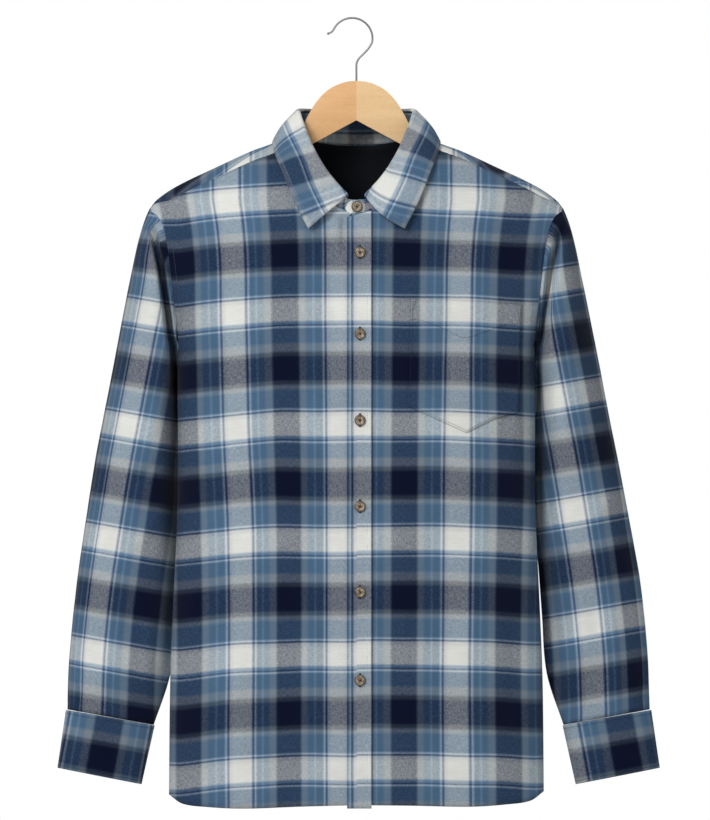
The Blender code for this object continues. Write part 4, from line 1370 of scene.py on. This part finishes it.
END, LOW = 0.012, 0.115   # from the leaf's ends and its edge to its stitches
leaf_run = [(END, 0.92), *((u, LOW) for u in spread(END, 1 - END, 40)), (1 - END, 0.92)]
stitches("collar_stitches", [shape_line(shape, run, out_of_collar, 8) for shape, run in (
    (collar_leaf, leaf_run),
    (collar_stand, [(u, 0.86) for u in spread(0.004, 0.14, 10)]),
    (collar_stand, [(u, 0.13) for u in spread(0.006, 0.14, 10)]),
)], make_thread("pale_thread", THREAD_PALE))


def out_of_cuff(place, side):
    down = min(max((-0.78 - place.z) / 0.07, 0.0), 1.0)
    outer, inner = CUFF.at("outer_x", down), CUFF.at("inner_x", down)
    aside = place.x - (outer + inner) / 2 * side
    return Vector((aside / ((outer - inner) / 2) ** 2, (place.y - 0.009) / 0.022 ** 2, 0)).normalized()


stitches("cuff_stitches", [
    shape_line(partial(cuff, side=side), [(u, level) for u in spread(0, 1, 60)],
               partial(out_of_cuff, side=side), 3)
    for side in (-1, 1) for level in (0.055, 0.945)
], navy_thread)

TO_FRONT, TO_BACK = Vector((0, -1, 0)), Vector((0, 1, 0))
for number, (height, turn) in enumerate(BUTTONS, 1):
    buttonhole(f"buttonhole_{number}", BUTTON_X, height + 0.0002, FACE)
    middle = Vector((BUTTON_X, body_y(BUTTON_X, height, out=FACE + 0.0006), height))
    button(f"button_{number}", middle, TO_FRONT, turn)
for name, facing, turn in (("collar", TO_FRONT, 40), ("cuff_right", TO_BACK, 15), ("cuff_left", TO_BACK, 15)):
    low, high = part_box("button_" + name)
    middle = (low + high) / 2 - Vector((GARMENT_X, 0, 0))
    middle.y = high.y - 0.0004 if facing.y < 0 else low.y + 0.0001
    button("button_" + name, middle, facing, turn)

# -------- the hanger
# Each half's light and dark wood, and the turn of its grain.
for side, name, *beech, grain in (
    (-1, "right", (0.706, 0.420, 0.190), (0.583, 0.308, 0.120), 8),
    (1, "left", (0.737, 0.514, 0.274), (0.640, 0.400, 0.186), -34),
):
    hanger_half("hanger_" + name, side, make_beech("beech_" + name, *beech, radians(grain)))
hanger_hook()

# -------- stage, light and camera
FLOOR_HEIGHT = -1.75
FLOOR_RADIUS = 4.0
AMBIENT = 0.50
VIEW_CENTRE = Vector((0.0034, -0.06, -0.443))
VIEW_HEIGHT = 0.9274      # metres of the hanging shirt that the frame takes in
LENS, SENSOR = 1400, 36

disc = bmesh.new()
bmesh.ops.create_circle(disc, cap_ends=True, segments=96, radius=FLOOR_RADIUS)
mesh = smooth_mesh("floor", disc)
mesh.transform(Matrix.Translation((0, 0, FLOOR_HEIGHT)))
floor = bpy.data.objects.new("floor", mesh)
mesh.materials.append(make_paint("pale_floor", (0.86, 0.86, 0.86)))
bpy.context.scene.collection.objects.link(floor)
floor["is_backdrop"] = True


def soft_light(name, place, aim, power_watts, size):
    data = bpy.data.lights.new(name, "AREA")
    data.energy, data.size = power_watts, size
    lamp = bpy.data.objects.new(name, data)
    lamp.location = place
    lamp.rotation_euler = (Vector(aim) - Vector(place)).to_track_quat("-Z", "Y").to_euler()
    bpy.context.scene.collection.objects.link(lamp)


def studio():
    """White behind the hanging shirt and dimmer all round, so that the key light shapes the folds."""
    world = bpy.data.worlds.new("studio")
    world.use_nodes = True
    sky = Nodes(world.node_tree)
    behind = sky.parts(sky.add("TexCoord"))[1]
    glow = sky.add("MapRange", behind, 0.90, 0.98, AMBIENT, 1.0)
    backdrop = sky.tree.nodes["Background"]
    backdrop.inputs["Color"].default_value = (1, 1, 1, 1)
    sky.tree.links.new(glow.source, backdrop.inputs["Strength"])
    return world


soft_light("key", (-1.3, -2.6, 1.1), (0, 0, -0.45), 76, 1.3)
soft_light("fill", (2.0, -2.4, 0.2), (0, 0, -0.45), 6, 2.2)
bpy.context.scene.world = studio()
bpy.context.scene.view_settings.view_transform = "Standard"

lens = bpy.data.cameras.new("front_view")
lens.lens, lens.sensor_width = LENS, SENSOR
camera = bpy.data.objects.new("front_view", lens)
camera.location = VIEW_CENTRE - Vector((0, VIEW_HEIGHT * LENS / SENSOR, 0))
camera.rotation_euler = (pi / 2, 0, 0)
bpy.context.scene.collection.objects.link(camera)
bpy.context.scene.camera = camera

low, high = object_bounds()
